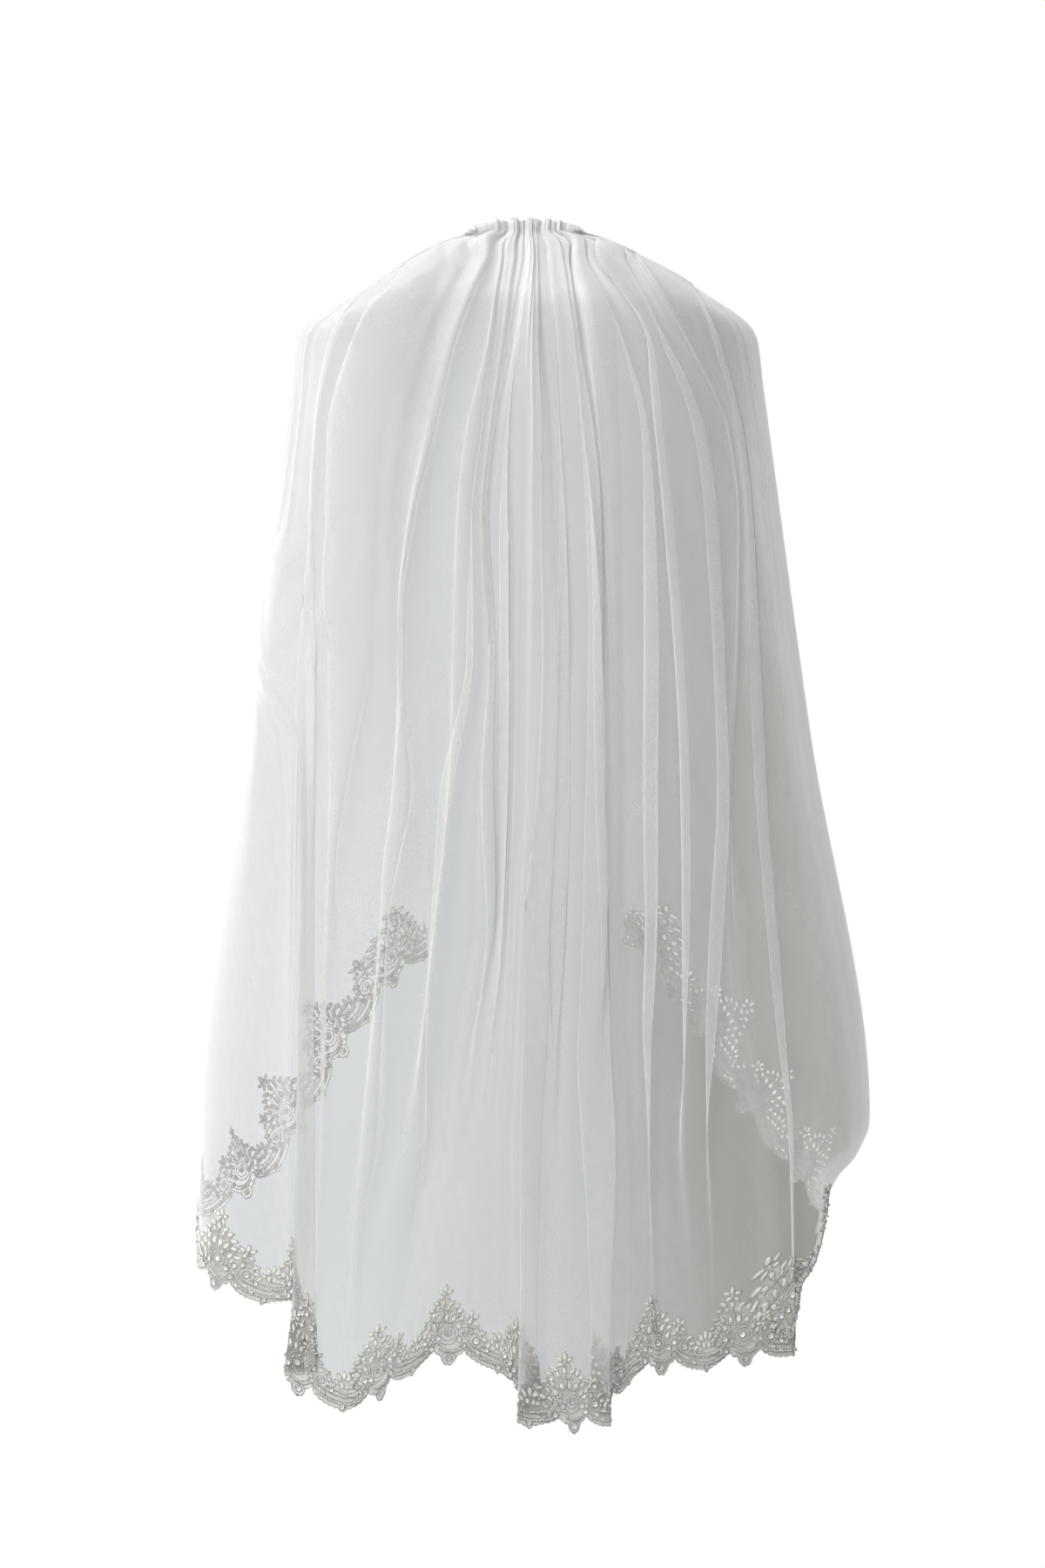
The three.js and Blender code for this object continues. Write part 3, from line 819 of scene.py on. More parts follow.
def mesh_object(
    name: str, points: np.ndarray, faces: np.ndarray, material: bpy.types.Material
) -> bpy.types.Object:
    """A smooth-shaded mesh object at the origin.

    Args:
        name: its name.
        points: its points, in metres.
        faces: rows of four point indices, where a triangle repeats its last one.
        material: its finish.

    Returns:
        The object.
    """
    mesh = bpy.data.meshes.new(name)
    mesh.from_pydata(points.tolist(), [], [f[:3] if f[2] == f[3] else f for f in faces.tolist()])
    mesh.shade_smooth()
    mesh.validate()
    mesh.materials.append(material)
    return linked(name, mesh)


def add_map(made: bpy.types.Object, flat: np.ndarray) -> None:
    """Gives a piece the UV map of the flat cloth.

    Args:
        made: the piece.
        flat: each point's place on the flat cloth, in metres.
    """
    corner = np.empty(len(made.data.loops), np.int32)
    made.data.loops.foreach_get("vertex_index", corner)
    layer = made.data.uv_layers.new(name="cloth")
    layer.data.foreach_set("uv", flat[corner].astype(np.float32).ravel())


def add_number(made: bpy.types.Object, name: str, values: np.ndarray) -> None:
    """Gives each point of a piece a number, or a direction if there are three for each."""
    kind, key = ("FLOAT_VECTOR", "vector") if values.ndim == 2 else ("FLOAT", "value")
    layer = made.data.attributes.new(name, kind, "POINT")
    layer.data.foreach_set(key, np.ascontiguousarray(values, np.float32).ravel())


class Growth:
    """A Geometry Nodes tree that is built in a few lines."""

    def __init__(self, name: str, inputs: dict[str, tuple[str, float | int]]) -> None:
        """Starts a tree.

        Args:
            name: its name.
            inputs: the type and value of each named input.
        """
        self.tree = bpy.data.node_groups.new(name, "GeometryNodeTree")
        face = self.tree.interface
        face.new_socket("Geometry", in_out="INPUT", socket_type="NodeSocketGeometry")
        face.new_socket("Geometry", in_out="OUTPUT", socket_type="NodeSocketGeometry")
        self.inputs = {}
        for key, (kind, value) in inputs.items():
            socket = face.new_socket(key, in_out="INPUT", socket_type=kind)
            socket.default_value = value
            self.inputs[key] = (socket.identifier, value)
        self.entry = self.node("NodeGroupInput")

    def node(self, kind: str, settings: dict | None = None, values: dict | None = None) -> bpy.types.Node:
        """Adds a node as add_node does."""
        return add_node(self.tree, kind, settings, values)

    def named(self, name: str, kind: str = "FLOAT") -> bpy.types.NodeSocket:
        """The value of a named attribute."""
        return self.node("GeometryNodeInputNamedAttribute", dict(data_type=kind), {"Name": name}).outputs[0]

    def finish(self, geometry: bpy.types.NodeSocket, material: bpy.types.Material) -> "Growth":
        """Ends the tree in Realize Instances, smooth shading and Set Material.

        Args:
            geometry: what the tree made.
            material: its finish.

        Returns:
            This tree.
        """
        whole = self.node("GeometryNodeRealizeInstances", None, {0: geometry}).outputs[0]
        soft = self.node("GeometryNodeSetShadeSmooth", None, {"Geometry": whole}).outputs[0]
        dressed = self.node("GeometryNodeSetMaterial", None, {"Geometry": soft, "Material": material})
        self.node("NodeGroupOutput", None, {0: dressed.outputs[0]})
        return self

    def grow(
        self, name: str, points: np.ndarray, edges: np.ndarray | None, values: dict[str, np.ndarray]
    ) -> bpy.types.Object:
        """Runs the tree on points or paths and keeps the plain mesh that it makes.

        Args:
            name: the piece's name.
            points: the points, in metres.
            edges: the pairs of points that paths run between, if any.
            values: named numbers or directions of each point.

        Returns:
            The piece, at the origin.
        """
        mesh = bpy.data.meshes.new(name + "_guide")
        mesh.from_pydata(points.tolist(), [] if edges is None else edges.tolist(), [])
        guide = linked(name + "_guide", mesh)
        for key, value in values.items():
            add_number(guide, key, value)
        modifier = guide.modifiers.new("grow", "NODES")
        modifier.node_group = self.tree
        for identifier, value in self.inputs.values():
            modifier[identifier] = value
        grown = bpy.data.meshes.new_from_object(guide.evaluated_get(bpy.context.evaluated_depsgraph_get()))
        grown.name = name
        guide.modifiers.remove(modifier)
        bpy.data.objects.remove(guide)
        return linked(name, grown)


def tube_tree(name: str, sides: int, material: bpy.types.Material) -> Growth:
    """A tree that turns paths into round cords as thick as their thickness says.

    Args:
        name: its name.
        sides: how many sides a cord has.
        material: its finish.

    Returns:
        The tree.
    """
    g = Growth(name, {"Sides": ("NodeSocketInt", sides)})
    path = g.node("GeometryNodeMeshToCurve", None, {0: g.entry.outputs["Geometry"]}).outputs[0]
    along = g.node("GeometryNodeSplineParameter").outputs["Length"]
    marked = g.node(
        "GeometryNodeStoreNamedAttribute",
        dict(data_type="FLOAT", domain="POINT"),
        {"Geometry": path, "Name": "stitch", "Value": along},
    )
    circle = {"Resolution": g.entry.outputs["Sides"], "Radius": 1.0}
    ring = g.node("GeometryNodeCurvePrimitiveCircle", None, circle)
    swept = {"Curve": marked.outputs[0], "Profile Curve": ring.outputs[0], "Scale": g.named("thickness")}
    tube = g.node("GeometryNodeCurveToMesh", None, {**swept, "Fill Caps": True})
    return g.finish(tube.outputs[0], material)


def spot_tree(name: str, material: bpy.types.Material, bead: bool) -> Growth:
    """A tree that puts a bead, or a cupped sequin with a seed bead, on each point.

    Args:
        name: its name.
        material: its finish.
        bead: whether it is a bead.

    Returns:
        The tree.
    """
    g = Growth(name, {"Sides": ("NodeSocketInt", 8), "Seed bead": ("NodeSocketFloat", 0.36)})
    sides = g.entry.outputs["Sides"]
    if bead:
        ball = {"Segments": sides, "Rings": 5, "Radius": 1.0}
        shape = g.node("GeometryNodeMeshUVSphere", None, ball).outputs[0]
    else:
        cup = {"Vertices": 12, "Side Segments": 2, "Radius Top": 1.0, "Radius Bottom": 0.22, "Depth": 0.36}
        seed = {"Segments": sides, "Rings": 4, "Radius": g.entry.outputs["Seed bead"]}
        both = g.node("GeometryNodeJoinGeometry")
        for part in (
            g.node("GeometryNodeMeshCone", dict(fill_type="NONE"), cup),
            g.node("GeometryNodeMeshUVSphere", None, seed),
        ):
            g.tree.links.new(part.outputs[0], both.inputs[0])
        shape = both.outputs[0]
    facing = g.named("facing", "FLOAT_VECTOR")
    turn = g.node("FunctionNodeAlignRotationToVector", dict(axis="Z"), {"Vector": facing}).outputs[0]
    placed = {"Points": g.entry.outputs["Geometry"], "Rotation": turn, "Scale": g.named("size")}
    spots = g.node("GeometryNodeInstanceOnPoints", None, {**placed, "Instance": shape})
    return g.finish(spots.outputs[0], material)


def grid_faces(rows: int, columns: int) -> np.ndarray:
    """Quads of a grid whose points are listed row by row, facing the side that the cloth's outside is on."""
    index = np.arange(rows * columns).reshape(rows, columns)
    corners = (index[:-1, :-1], index[1:, :-1], index[1:, 1:], index[:-1, 1:])
    return np.stack([c.ravel() for c in corners], 1)


@dataclass
class TulleSheet:
    """The sheet of net, from the ruffle above the comb to the scalloped edge of the trim."""

    drape: Drape
    lace: "LaceTrim"
    finish: NetFinish
    columns: int = 960
    upper_rows: int = 92
    trim_rows: int = 9
    trim_height: float = 62.0
    edge: float = 2.2
    sewn: tuple[float, float] = (2.6, 0.08)
    patches: int = 8
    patchiness: float = 0.03
    patch_size: tuple[float, float] = (70.0, 260.0)
    bunching: tuple[float, float] = (0.8, 12.0)
    least_width: float = 0.02
    seed: int = 5

    def build(self) -> bpy.types.Object:
        """Builds the sheet.

        Returns:
            The sheet's object.
        """
        flat = np.linspace(0, self.drape.flat_width, self.columns)
        column = np.interp(flat, self.drape.flat, np.arange(self.drape.columns))
        drop = np.interp(column, np.arange(self.drape.columns), self.drape.drop)
        share = self.drape.row_shares(self.upper_rows)
        top = drop[None, :] - (drop[None, :] - self.trim_height) * share[:, None]
        edge = self.lace.lower_edge(self.lace.motif(flat)) + self.edge
        lower = self.trim_height + (edge - self.trim_height) * np.linspace(0, 1, self.trim_rows + 1)[1:, None]
        height = np.concatenate([top, lower])
        places = np.broadcast_to(flat, height.shape)
        points = self.drape.up_the_cloth(places.ravel(), height.ravel())
        made = mesh_object("tulle_sheet", points * MM, grid_faces(*height.shape), self.finish.material())
        places = self.drape.cut(places, height, drop)
        add_map(made, np.stack([places.ravel(), height.ravel()], 1) * MM)
        bunching = self._bunching(places, height, points.reshape(*height.shape, 3), 1 - height / drop)
        add_number(made, "bunching", bunching.ravel())
        return made

    def _bunching(
        self, places: np.ndarray, height: np.ndarray, points: np.ndarray, share: np.ndarray
    ) -> np.ndarray:
        """How much the cloth is bunched at each point.

        Args:
            places: the distance of each point across the flat cut.
            height: the height of each point above the hem.
            points: the points, in millimetres.
            share: the share of the drop at each point, from the comb down.

        Returns:
            The width of the flat cloth against that of the draped cloth.
        """
        wide = np.linalg.norm(np.gradient(points, axis=1), axis=-1)
        cut = np.gradient(places, axis=1)
        bunching = np.clip(cut / np.maximum(wide, self.least_width), *self.bunching)
        for _ in range(2):
            padded = np.pad(bunching, 1, mode="edge")
            bunching = (padded[1:-1, :-2] + 2 * padded[1:-1, 1:-1] + padded[1:-1, 2:]) / 4
        bunching = bunching * (1 + self.sewn[0] * np.exp(-((share / self.sewn[1]) ** 2)))
        # The net is a little denser in some places than in others.
        rng = np.random.default_rng(self.seed)
        for _ in range(self.patches):
            turn, size = rng.uniform(0, math.pi), rng.uniform(*self.patch_size)
            along = places * math.cos(turn) + height * math.sin(turn)
            wave = np.sin(2 * math.pi * along / size + rng.uniform(0, 6))
            bunching = bunching * (1 + self.patchiness * wave)
        LOG.info("bunching from %.2f to %.2f", bunching.min(), bunching.max())
        return bunching


@dataclass(frozen=True)
class LaceThread:
    """Satin thread of the lace: bright along the stitches, with a fine twist in its bump and a painted shade
    of that twist in its colour.
    """

    name: str
    colour: tuple[float, float, float, float]
    shade: tuple[float, float, float, float]
    roughness: float
    stitch: float
    raised: float

    def material(self) -> bpy.types.Material:
        """Builds the material; the piece's own stitch attribute holds the distance along its threads."""
        g = new_material(self.name)
        # Stripes along the thread: they raise the bump, and they darken the colour as painted shade of the
        # twist.
        twist = (g.number("stitch") * (2 * math.pi / self.stitch)).sine() * 0.5 + 0.5
        worn = g.noise(260.0, 2.0, 0.6).ramp(0.3, 0.75)
        patch = g.noise(38.0).ramp(0.35, 0.7)
        tone = g.blend(worn * 0.6 + patch * 0.4, self.shade, self.colour)
        cloth = g.surface(
            {
                # Painted shade of the twist: the colour darkens towards the shade colour in its stripes.
                "Base Color": g.blend(twist * 0.35, tone, self.shade),
                "Roughness": worn * 0.16 + self.roughness,
                "Specular IOR Level": 0.6,
                "Sheen Weight": 0.2,
                "Normal": g.bump(twist, self.raised, 0.7),
            }
        )
        return g.finish(cloth)


@dataclass(frozen=True)
class GroundFinish:
    """Close-woven ground between the lace's cords, thinner than satin and thicker than net."""

    colour: tuple[float, float, float, float] = (0.86, 0.855, 0.83, 1.0)
    shade: tuple[float, float, float, float] = (0.54, 0.535, 0.515, 1.0)
    cell: float = 0.0011
    cover: float = 0.80
    uneven: float = 0.16
    through: float = 0.6

    def material(self) -> bpy.types.Material:
        """Builds the material."""
        g = new_material("lace_ground")
        across, along = g.on_cloth()
        turn = 2 * math.pi / self.cell
        weave = (across * turn + along * turn).sine() * (across * turn - along * turn).sine() * 0.5 + 0.5
        patch = g.noise(120.0).ramp(0.3, 0.7)
        cover = (weave * self.uneven + patch * self.uneven + (self.cover - self.uneven)).at_most(1.0)
        cloth = g.surface(
            {
                "Base Color": g.blend(patch, self.shade, self.colour),
                "Roughness": 0.6,
                "Sheen Weight": 0.15,
                "Normal": g.bump(weave, 0.0003, 0.8),
            }
        )
        return g.finish(g.open_weave(g.lit_through(cloth, self.colour, self.through), cover))


@dataclass(frozen=True)
class BeadFinish:
    """Clear glass bead or pearly sequin."""

    name: str
    colour: tuple[float, float, float, float]
    roughness: float
    metallic: float
    coat: float

    def material(self) -> bpy.types.Material:
        """Builds the material."""
        g = new_material(self.name)
        cloudy = g.noise(420.0, 1.0).ramp(0.35, 0.65)
        pale = tuple(min(1.0, c * 1.12) for c in self.colour[:3]) + (1.0,)
        body = g.surface(
            {
                "Base Color": g.blend(cloudy, self.colour, pale),
                "Roughness": cloudy * 0.12 + self.roughness,
                "Metallic": self.metallic,
                "Coat Weight": self.coat,
                "Coat Roughness": 0.08,
                "Specular IOR Level": 0.7,
            }
        )
        return g.finish(body)


@dataclass(frozen=True)
class MouldedPlastic:
    """Clear-white moulded plastic: glossy, with faint flow lines and a little light through it."""

    colour: tuple[float, float, float, float] = (0.85, 0.85, 0.82, 1.0)
    deep: tuple[float, float, float, float] = (0.74, 0.74, 0.70, 1.0)
    roughness: float = 0.2
    through: float = 0.22

    def material(self) -> bpy.types.Material:
        """Builds the material."""
        g = new_material("moulded_comb")
        place = {"Vector": g.node("ShaderNodeTexCoord", out="Object"), "Scale": (900.0, 900.0, 60.0)}
        grain = g.noise(1.0, where=g.node("ShaderNodeMapping", None, place))
        body = g.surface(
            {
                "Base Color": g.blend(g.noise(55.0, 3.0, 0.6).ramp(0.3, 0.7), self.deep, self.colour),
                "Roughness": grain * 0.14 + self.roughness,
                "Coat Weight": 0.3,
                "Normal": g.bump(grain, 0.0001, 0.4),
            }
        )
        return g.finish(g.lit_through(body, self.colour, self.through))


@dataclass
class CombBinding:
    """The thread that sews the gathers to the comb: loops round its spine, between its teeth."""

    spine: tuple[float, float] = (34.0, 4.5)
    front: float = 1.0
    into_net: float = -3.4
    gaps: int = 16
    end_tooth: float = 3.4
    strands: int = 3
    spread: float = 0.8
    slope: float = 0.4
    jitter: float = 0.25
    clear: float = 0.45
    radius: float = 0.32
    loop_points: int = 24
    squareness: int = 6
    seed: int = 5

    def build(self) -> bpy.types.Object:
        """Builds the loops.

        Returns:
            The thread's object.
        """
        rng = np.random.default_rng(self.seed)
        half, tall = self.spine
        pitch = (2 * half - self.end_tooth) / self.gaps
        turn = np.linspace(0, 2 * math.pi, self.loop_points, endpoint=False)
        depth, middle = (self.front - self.into_net) / 2 + self.clear, (self.front + self.into_net) / 2
        # A squared circle keeps the loop clear of the spine's corners.
        corners = np.abs(np.cos(turn)) ** self.squareness + np.abs(np.sin(turn)) ** self.squareness
        squared = corners ** (-1 / self.squareness)
        y, z = middle + depth * np.cos(turn) * squared, (tall + self.clear) * np.sin(turn) * squared
        index = np.arange(self.loop_points)
        points, edges = [], []
        for strand in range(self.strands):
            offset = (strand - (self.strands - 1) / 2) * self.spread
            for gap in range(self.gaps):
                low = -half + self.end_tooth / 2 + pitch * (gap + 0.5) + offset * 0.5
                lean = pitch * self.slope + offset + rng.uniform(-self.jitter, self.jitter)
                edges.append(np.stack([index, np.roll(index, -1)], 1) + self.loop_points * len(points))
                points.append(np.stack([low + lean * (1 + np.sin(turn)) / 2, y, z], 1))
        place = np.concatenate(points) * MM
        white, dim = (0.80, 0.80, 0.78, 1), (0.56, 0.56, 0.54, 1)
        thread = LaceThread("binding_thread", white, dim, 0.42, 0.0009, 0.0002)
        tree = tube_tree("thread_round_spine", 6, thread.material())
        thickness = np.full(len(place), self.radius * MM)
        return tree.grow("comb_binding", place, np.concatenate(edges), {"thickness": thickness})


# One repeat of the lace, flat, as (along, above the hem) from the foot of its tall flower.
# A petal is its middle, the way it points in degrees, its length and its width.
PETALS = (
    (-4.0, 54.6, 90, 7.4, 3.8), (-8.6, 51.8, 158, 6.4, 3.2), (0.6, 52.2, 24, 6.0, 3.2),
    (-7.4, 47.4, 212, 5.4, 3.0), (-0.8, 47.6, -34, 5.2, 3.0),
    (-12.2, 43.4, 158, 7.4, 3.4), (-4.4, 43.2, 96, 6.6, 3.8), (3.6, 42.6, 28, 7.0, 3.4),
    (-16.2, 38.2, 172, 6.6, 3.2), (9.0, 40.4, 40, 6.4, 3.6), (-9.4, 39.4, 130, 5.0, 2.6),
    (1.2, 39.0, 62, 5.0, 2.6), (12.6, 36.4, 12, 6.2, 3.2),
    (-19.6, 32.0, 186, 6.8, 3.6), (-13.4, 31.4, 120, 6.4, 3.8), (-6.4, 30.6, 92, 6.8, 4.2),
    (0.6, 31.2, 80, 6.8, 4.2), (7.4, 30.6, 60, 6.6, 4.0), (14.2, 30.8, 28, 6.4, 3.4),
    (-23.4, 25.8, 198, 6.4, 3.4), (-17.0, 25.2, 140, 6.0, 3.6), (-11.0, 24.4, 112, 5.8, 3.4),
    (17.8, 25.2, 10, 6.0, 3.2), (12.6, 24.2, 48, 5.6, 3.2),
    (-26.2, 19.4, 206, 6.2, 3.2), (-20.6, 19.0, 160, 6.0, 3.6), (-15.2, 18.4, 128, 5.4, 3.2),
    (-24.0, 12.8, 190, 6.0, 3.4), (-18.2, 11.6, 150, 5.6, 3.2),
    (22.8, 35.0, 92, 6.6, 3.2), (19.2, 33.0, 142, 5.6, 2.8), (26.6, 33.2, 40, 5.8, 2.8),
    (22.0, 28.6, 262, 5.2, 3.0), (27.4, 27.6, 330, 5.6, 3.0),
    (33.0, 20.8, 20, 6.2, 2.8), (34.8, 15.6, -8, 5.6, 2.8),
    (38.6, 12.0, 60, 5.8, 2.8), (43.4, 19.6, 118, 7.2, 3.0), (47.6, 21.4, 92, 7.6, 3.2),
    (51.8, 20.4, 66, 7.2, 3.0), (46.0, 13.4, 100, 5.8, 3.0), (50.6, 13.0, 76, 5.8, 3.0),
    (41.2, 15.2, 140, 5.4, 2.6), (30.0, 4.6, -28, 5.4, 2.6), (62.4, 5.0, 28, 5.4, 2.6),
    (36.0, 0.6, -18, 5.0, 2.4), (57.0, 1.0, 20, 5.0, 2.4), (23.4, 3.2, -52, 4.6, 2.4),
)

# A ring is its middle and its radius.
RINGS = (
    (3.0, 18.6, 3.2), (3.0, 18.2, 6.4), (3.0, 17.6, 9.4), (27.6, 14.0, 3.4), (27.8, 13.8, 6.6),
    (-11.6, 15.6, 2.5), (-6.2, 14.4, 2.5), (12.8, 14.2, 2.6), (17.6, 18.4, 2.4), (17.2, 9.2, 2.3),
    (-11.4, 6.2, 2.4), (5.5, -1.6, 3.0), (5.5, -1.6, 5.7), (22.6, 21.4, 2.3), (47.2, -3.4, 2.4),
    (36.8, 8.0, 2.2), (57.4, 13.6, 2.4),
)

# A cord is the points that it runs through.
CORDS = (
    ((-11.5, 36.2), (-8.5, 37.4), (-5.5, 35.8), (-2.0, 37.2), (1.6, 35.8), (5.4, 37.0)),
    ((-13.6, 28.0), (-9.0, 27.4), (-3.6, 26.8), (2.0, 27.4), (7.4, 26.6), (12.0, 28.0)),
    ((-27.2, 5.6), (-22.0, 3.6), (-16.0, 4.4), (-11.0, 9.6), (-5.6, 9.8), (-1.0, 7.0)),
    ((-5.0, 9.6), (0.0, 6.2), (6.0, 4.8), (12.0, 6.4), (16.2, 10.6)),
    ((-3.6, 5.8), (1.4, 3.2), (6.6, 2.2), (12.4, 3.6), (17.0, 6.4)),
    ((19.0, 10.4), (26.0, 4.6), (36.0, 1.2), (47.0, 0.0), (58.0, 1.6), (66.0, 5.6), (70.4, 10.6)),
    ((19.4, 7.6), (26.0, 2.2), (36.0, -1.4), (47.0, -2.6), (58.0, -1.0), (66.0, 2.8), (70.0, 7.4)),
    ((22.6, 11.6), (30.0, 7.2), (38.0, 4.6), (47.0, 3.4), (56.0, 4.8), (63.0, 8.0), (67.6, 12.4)),
    ((32.0, 10.6), (39.0, 8.4), (47.0, 7.0), (55.0, 8.2), (61.0, 11.0), (64.6, 15.6)),
    ((-4.0, 46.0), (-4.4, 40.0), (-2.6, 34.0), (-3.0, 28.0)),
    ((-20.0, 27.4), (-14.6, 22.2), (-8.0, 19.8), (-6.4, 24.0), (-9.6, 28.0)),
    ((10.0, 34.0), (15.0, 27.6), (20.4, 24.4), (24.8, 24.0), (31.2, 23.6), (37.0, 16.6)),
    ((38.6, 17.0), (43.0, 13.8), (47.6, 11.0), (53.6, 13.4), (59.4, 18.4), (62.0, 22.4)),
)

# A bead is its middle and its radius; those in rows follow.
BEADS = (
    (-4.2, 50.2, 1.15), (-4.4, 39.9, 0.9), (-10.2, 34.4, 0.9), (4.8, 34.0, 0.9), (10.4, 33.2, 0.9),
    (-17.0, 29.0, 0.8), (-9.4, 21.0, 0.95), (23.0, 31.2, 1.1), (31.0, 19.4, 0.9), (43.0, 10.2, 0.9),
    (54.6, 16.8, 0.9), (-4.0, 3.4, 1.1), (18.8, 12.8, 1.0), (-15.6, 7.2, 1.1), (-21.4, 7.8, 0.9),
    (5.5, 24.8, 0.9), (-1.8, 21.4, 0.8), (8.2, 20.8, 0.8), (60.6, 12.0, 0.8), (33.6, 12.0, 0.9),
)
BEAD_ROWS = (
    ((26.0, 3.2), (36.0, -0.2), (47.0, -1.4), (58.0, 0.2), (66.0, 4.2)),
    ((-2.0, 7.4), (3.0, 4.4), (8.0, 4.0), (14.0, 6.8)),
    ((30.0, 9.0), (38.0, 6.6), (47.0, 5.4), (56.0, 6.6), (62.4, 9.6)),
)
SEQUINS = (
    (3.0, 18.6, 2.3), (27.6, 14.0, 2.3), (-11.6, 15.6, 1.9), (-6.2, 14.4, 1.9), (12.8, 14.2, 1.9),
    (17.6, 18.4, 1.8), (17.2, 9.2, 1.8), (-11.4, 6.2, 1.8), (5.5, -1.6, 2.2), (22.6, 21.4, 1.7),
    (47.2, -3.4, 1.8), (57.4, 13.6, 1.8), (36.8, 8.0, 1.6), (-14.6, 35.0, 1.6), (15.2, 21.6, 1.6),
)

# The ground's lower and upper edges over one repeat.
GROUND_LOW = (
    (-31.0, -8.4), (-27.6, -5.4), (-21.0, -2.8), (-15.0, -0.2), (-10.4, 3.0), (-8.0, 4.6), (-5.0, 1.4),
    (-1.0, 0.4), (0.4, -3.6), (2.6, -6.6), (5.5, -7.6), (8.4, -6.6), (10.6, -3.6), (12.2, 0.6), (16.0, 2.4),
    (18.2, 5.4), (21.0, 2.0), (27.0, -1.6), (34.0, -4.2), (41.0, -5.4), (44.2, -5.8), (47.0, -8.4),
)
GROUND_HIGH = (
    (-31.0, 19.6), (-27.0, 20.6), (-23.0, 27.6), (-19.0, 33.6), (-15.0, 38.8), (-11.0, 43.6), (-7.0, 49.6),
    (-4.0, 53.6), (-1.0, 49.6), (3.0, 43.6), (8.0, 39.6), (12.0, 35.6), (16.0, 29.6), (19.0, 30.6),
    (22.6, 33.6), (26.0, 30.6), (30.0, 22.4), (35.0, 16.4), (40.0, 14.6), (43.6, 18.6), (47.0, 19.6),
)


@dataclass
class LaceTrim:
    """The scalloped lace: its ground, satin petals, cords, beads and sequins."""

    drape: Drape
    repeat: float = 78.0
    tip: float = -4.0
    peaks: tuple[tuple[float, float], ...] = (
        (0, 112), (4, 424), (5, 508), (6, 586), (7, 662), (8, 724), (9, 800), (10, 888), (11, 948),
        (12, 1008), (13, 1077), (14, 1152), (15, 1232), (16, 1314), (17, 1400), (18, 1480), (22, 1784),
    )
    lift: float = 0.3
    cord_radius: float = 0.42
    outline_cord: float = 0.85
    ring_cord: float = 1.0
    scroll_cord: float = 1.25
    edge_cords: tuple[tuple[float, float, float], ...] = ((1.1, 0.3, 1.2), (1.6, -0.6, 0.8))
    cord_step: float = 1.6
    outline_points: int = 12
    ring_points: int = 14
    ring_squash: float = 0.92
    long_path: int = 200
    overlap: float = 1.2
    petal_points: int = 10
    petal_turn: float = 6.0
    petal_size: tuple[float, float] = (0.92, 1.08)
    petal_taper: float = 0.25
    petal_rings: tuple[tuple[float, float], ...] = (
        (1.0, 0.0), (0.62, 0.42), (0.0, 0.55), (0.62, -0.34), (0.0, -0.42),
    )
    ground_step: float = 0.9
    ground_rows: int = 7
    picot: float = 1.3
    picot_length: float = 4.4
    bead_step: float = 2.3
    small_bead: float = 0.72
    sequin_tilt: float = 0.16
    end_margin: float = 4.0
    reach: float = 0.8
    seed: int = 7

    def __post_init__(self) -> None:
        """Lays the repeats out along the flat hem."""
        known = np.array(self.peaks, float)
        pace = np.diff(known[[0, 1, -2, -1]], axis=0)[[0, 2]]
        ends = known[0] - 12 * pace[0], known[-1] + 24 * pace[1]
        self.known = np.stack([ends[0], *known, ends[1]])
        first, last = (int(self.motif(edge) / self.repeat) for edge in (0.0, self.drape.flat_width))
        self.starts = np.arange(first - 1, last + 2) * self.repeat

    def motif(self, flat: np.ndarray | float) -> np.ndarray:
        """The place along the lace, before it is eased round the folds, of a place along the hem."""
        return np.interp(flat, self.known[:, 1], self.known[:, 0] * self.repeat + self.tip)

    def eased(self, along: np.ndarray | float) -> np.ndarray:
        """The place along the hem of a place along the lace."""
        return np.interp(along, self.known[:, 0] * self.repeat + self.tip, self.known[:, 1])

    def place(self, flat: np.ndarray, height: np.ndarray, lift: np.ndarray | float) -> np.ndarray:
        """Lays flat lace on the draped net.

        Args:
            flat: distance along the lace.
            height: height above the hem.
            lift: how far each point stands off the net's outside.

        Returns:
            The points, in metres.
        """
        flat = np.clip(self.eased(flat), 1.0, self.drape.flat_width - 1.0)
        on_net, reach = self.drape.above_hem, self.reach
        across = on_net(flat + reach, height) - on_net(flat - reach, height)
        up = on_net(flat, height + reach) - on_net(flat, height - reach)
        out = unit(np.cross(across, up))
        return (on_net(flat, height) + out * np.broadcast_to(lift, flat.shape)[..., None]) * MM

    def normals(self, flat: np.ndarray, height: np.ndarray) -> np.ndarray:
        """The outward directions at places of the lace."""
        return unit(self.place(flat, height, 1.0) - self.place(flat, height, 0.0))

    def build(self) -> list[bpy.types.Object]:
        """Builds the pieces of the trim.

        Returns:
            The ground, petals, cords, beads and sequins.
        """
        satin = LaceThread("satin_petals", (0.93, 0.93, 0.90, 1), (0.64, 0.64, 0.60, 1), 0.32, 0.0007, 0.0002)
        cord = LaceThread("satin_cord", (0.62, 0.61, 0.57, 1), (0.34, 0.33, 0.30, 1), 0.24, 0.0009, 0.0003)
        glass = BeadFinish("glass_beads", (0.62, 0.63, 0.62, 1), 0.20, 0.1, 0.35)
        pearl = BeadFinish("pearl_sequins", (0.58, 0.59, 0.585, 1), 0.30, 0.25, 0.2)
        pieces = [self._ground(), self._petals(satin.material()), *self._cords(cord.material())]
        return pieces + [self._beads(glass.material()), self._sequins(pearl.material())]

    def _inside(self, flat: np.ndarray | float) -> np.ndarray:
        """Whether places along the lace are on the cloth."""
        hem = self.eased(flat)
        return (hem > self.end_margin) & (hem < self.drape.flat_width - self.end_margin)

    def _edge(self, knots: Sequence[tuple[float, float]], flat: np.ndarray) -> np.ndarray:
        """The height of one of the ground's edges along the lace."""
        table = np.array(knots)
        along = (flat - self.starts[0] - table[0, 0]) % self.repeat + table[0, 0]
        return np.interp(along, table[:, 0], table[:, 1])

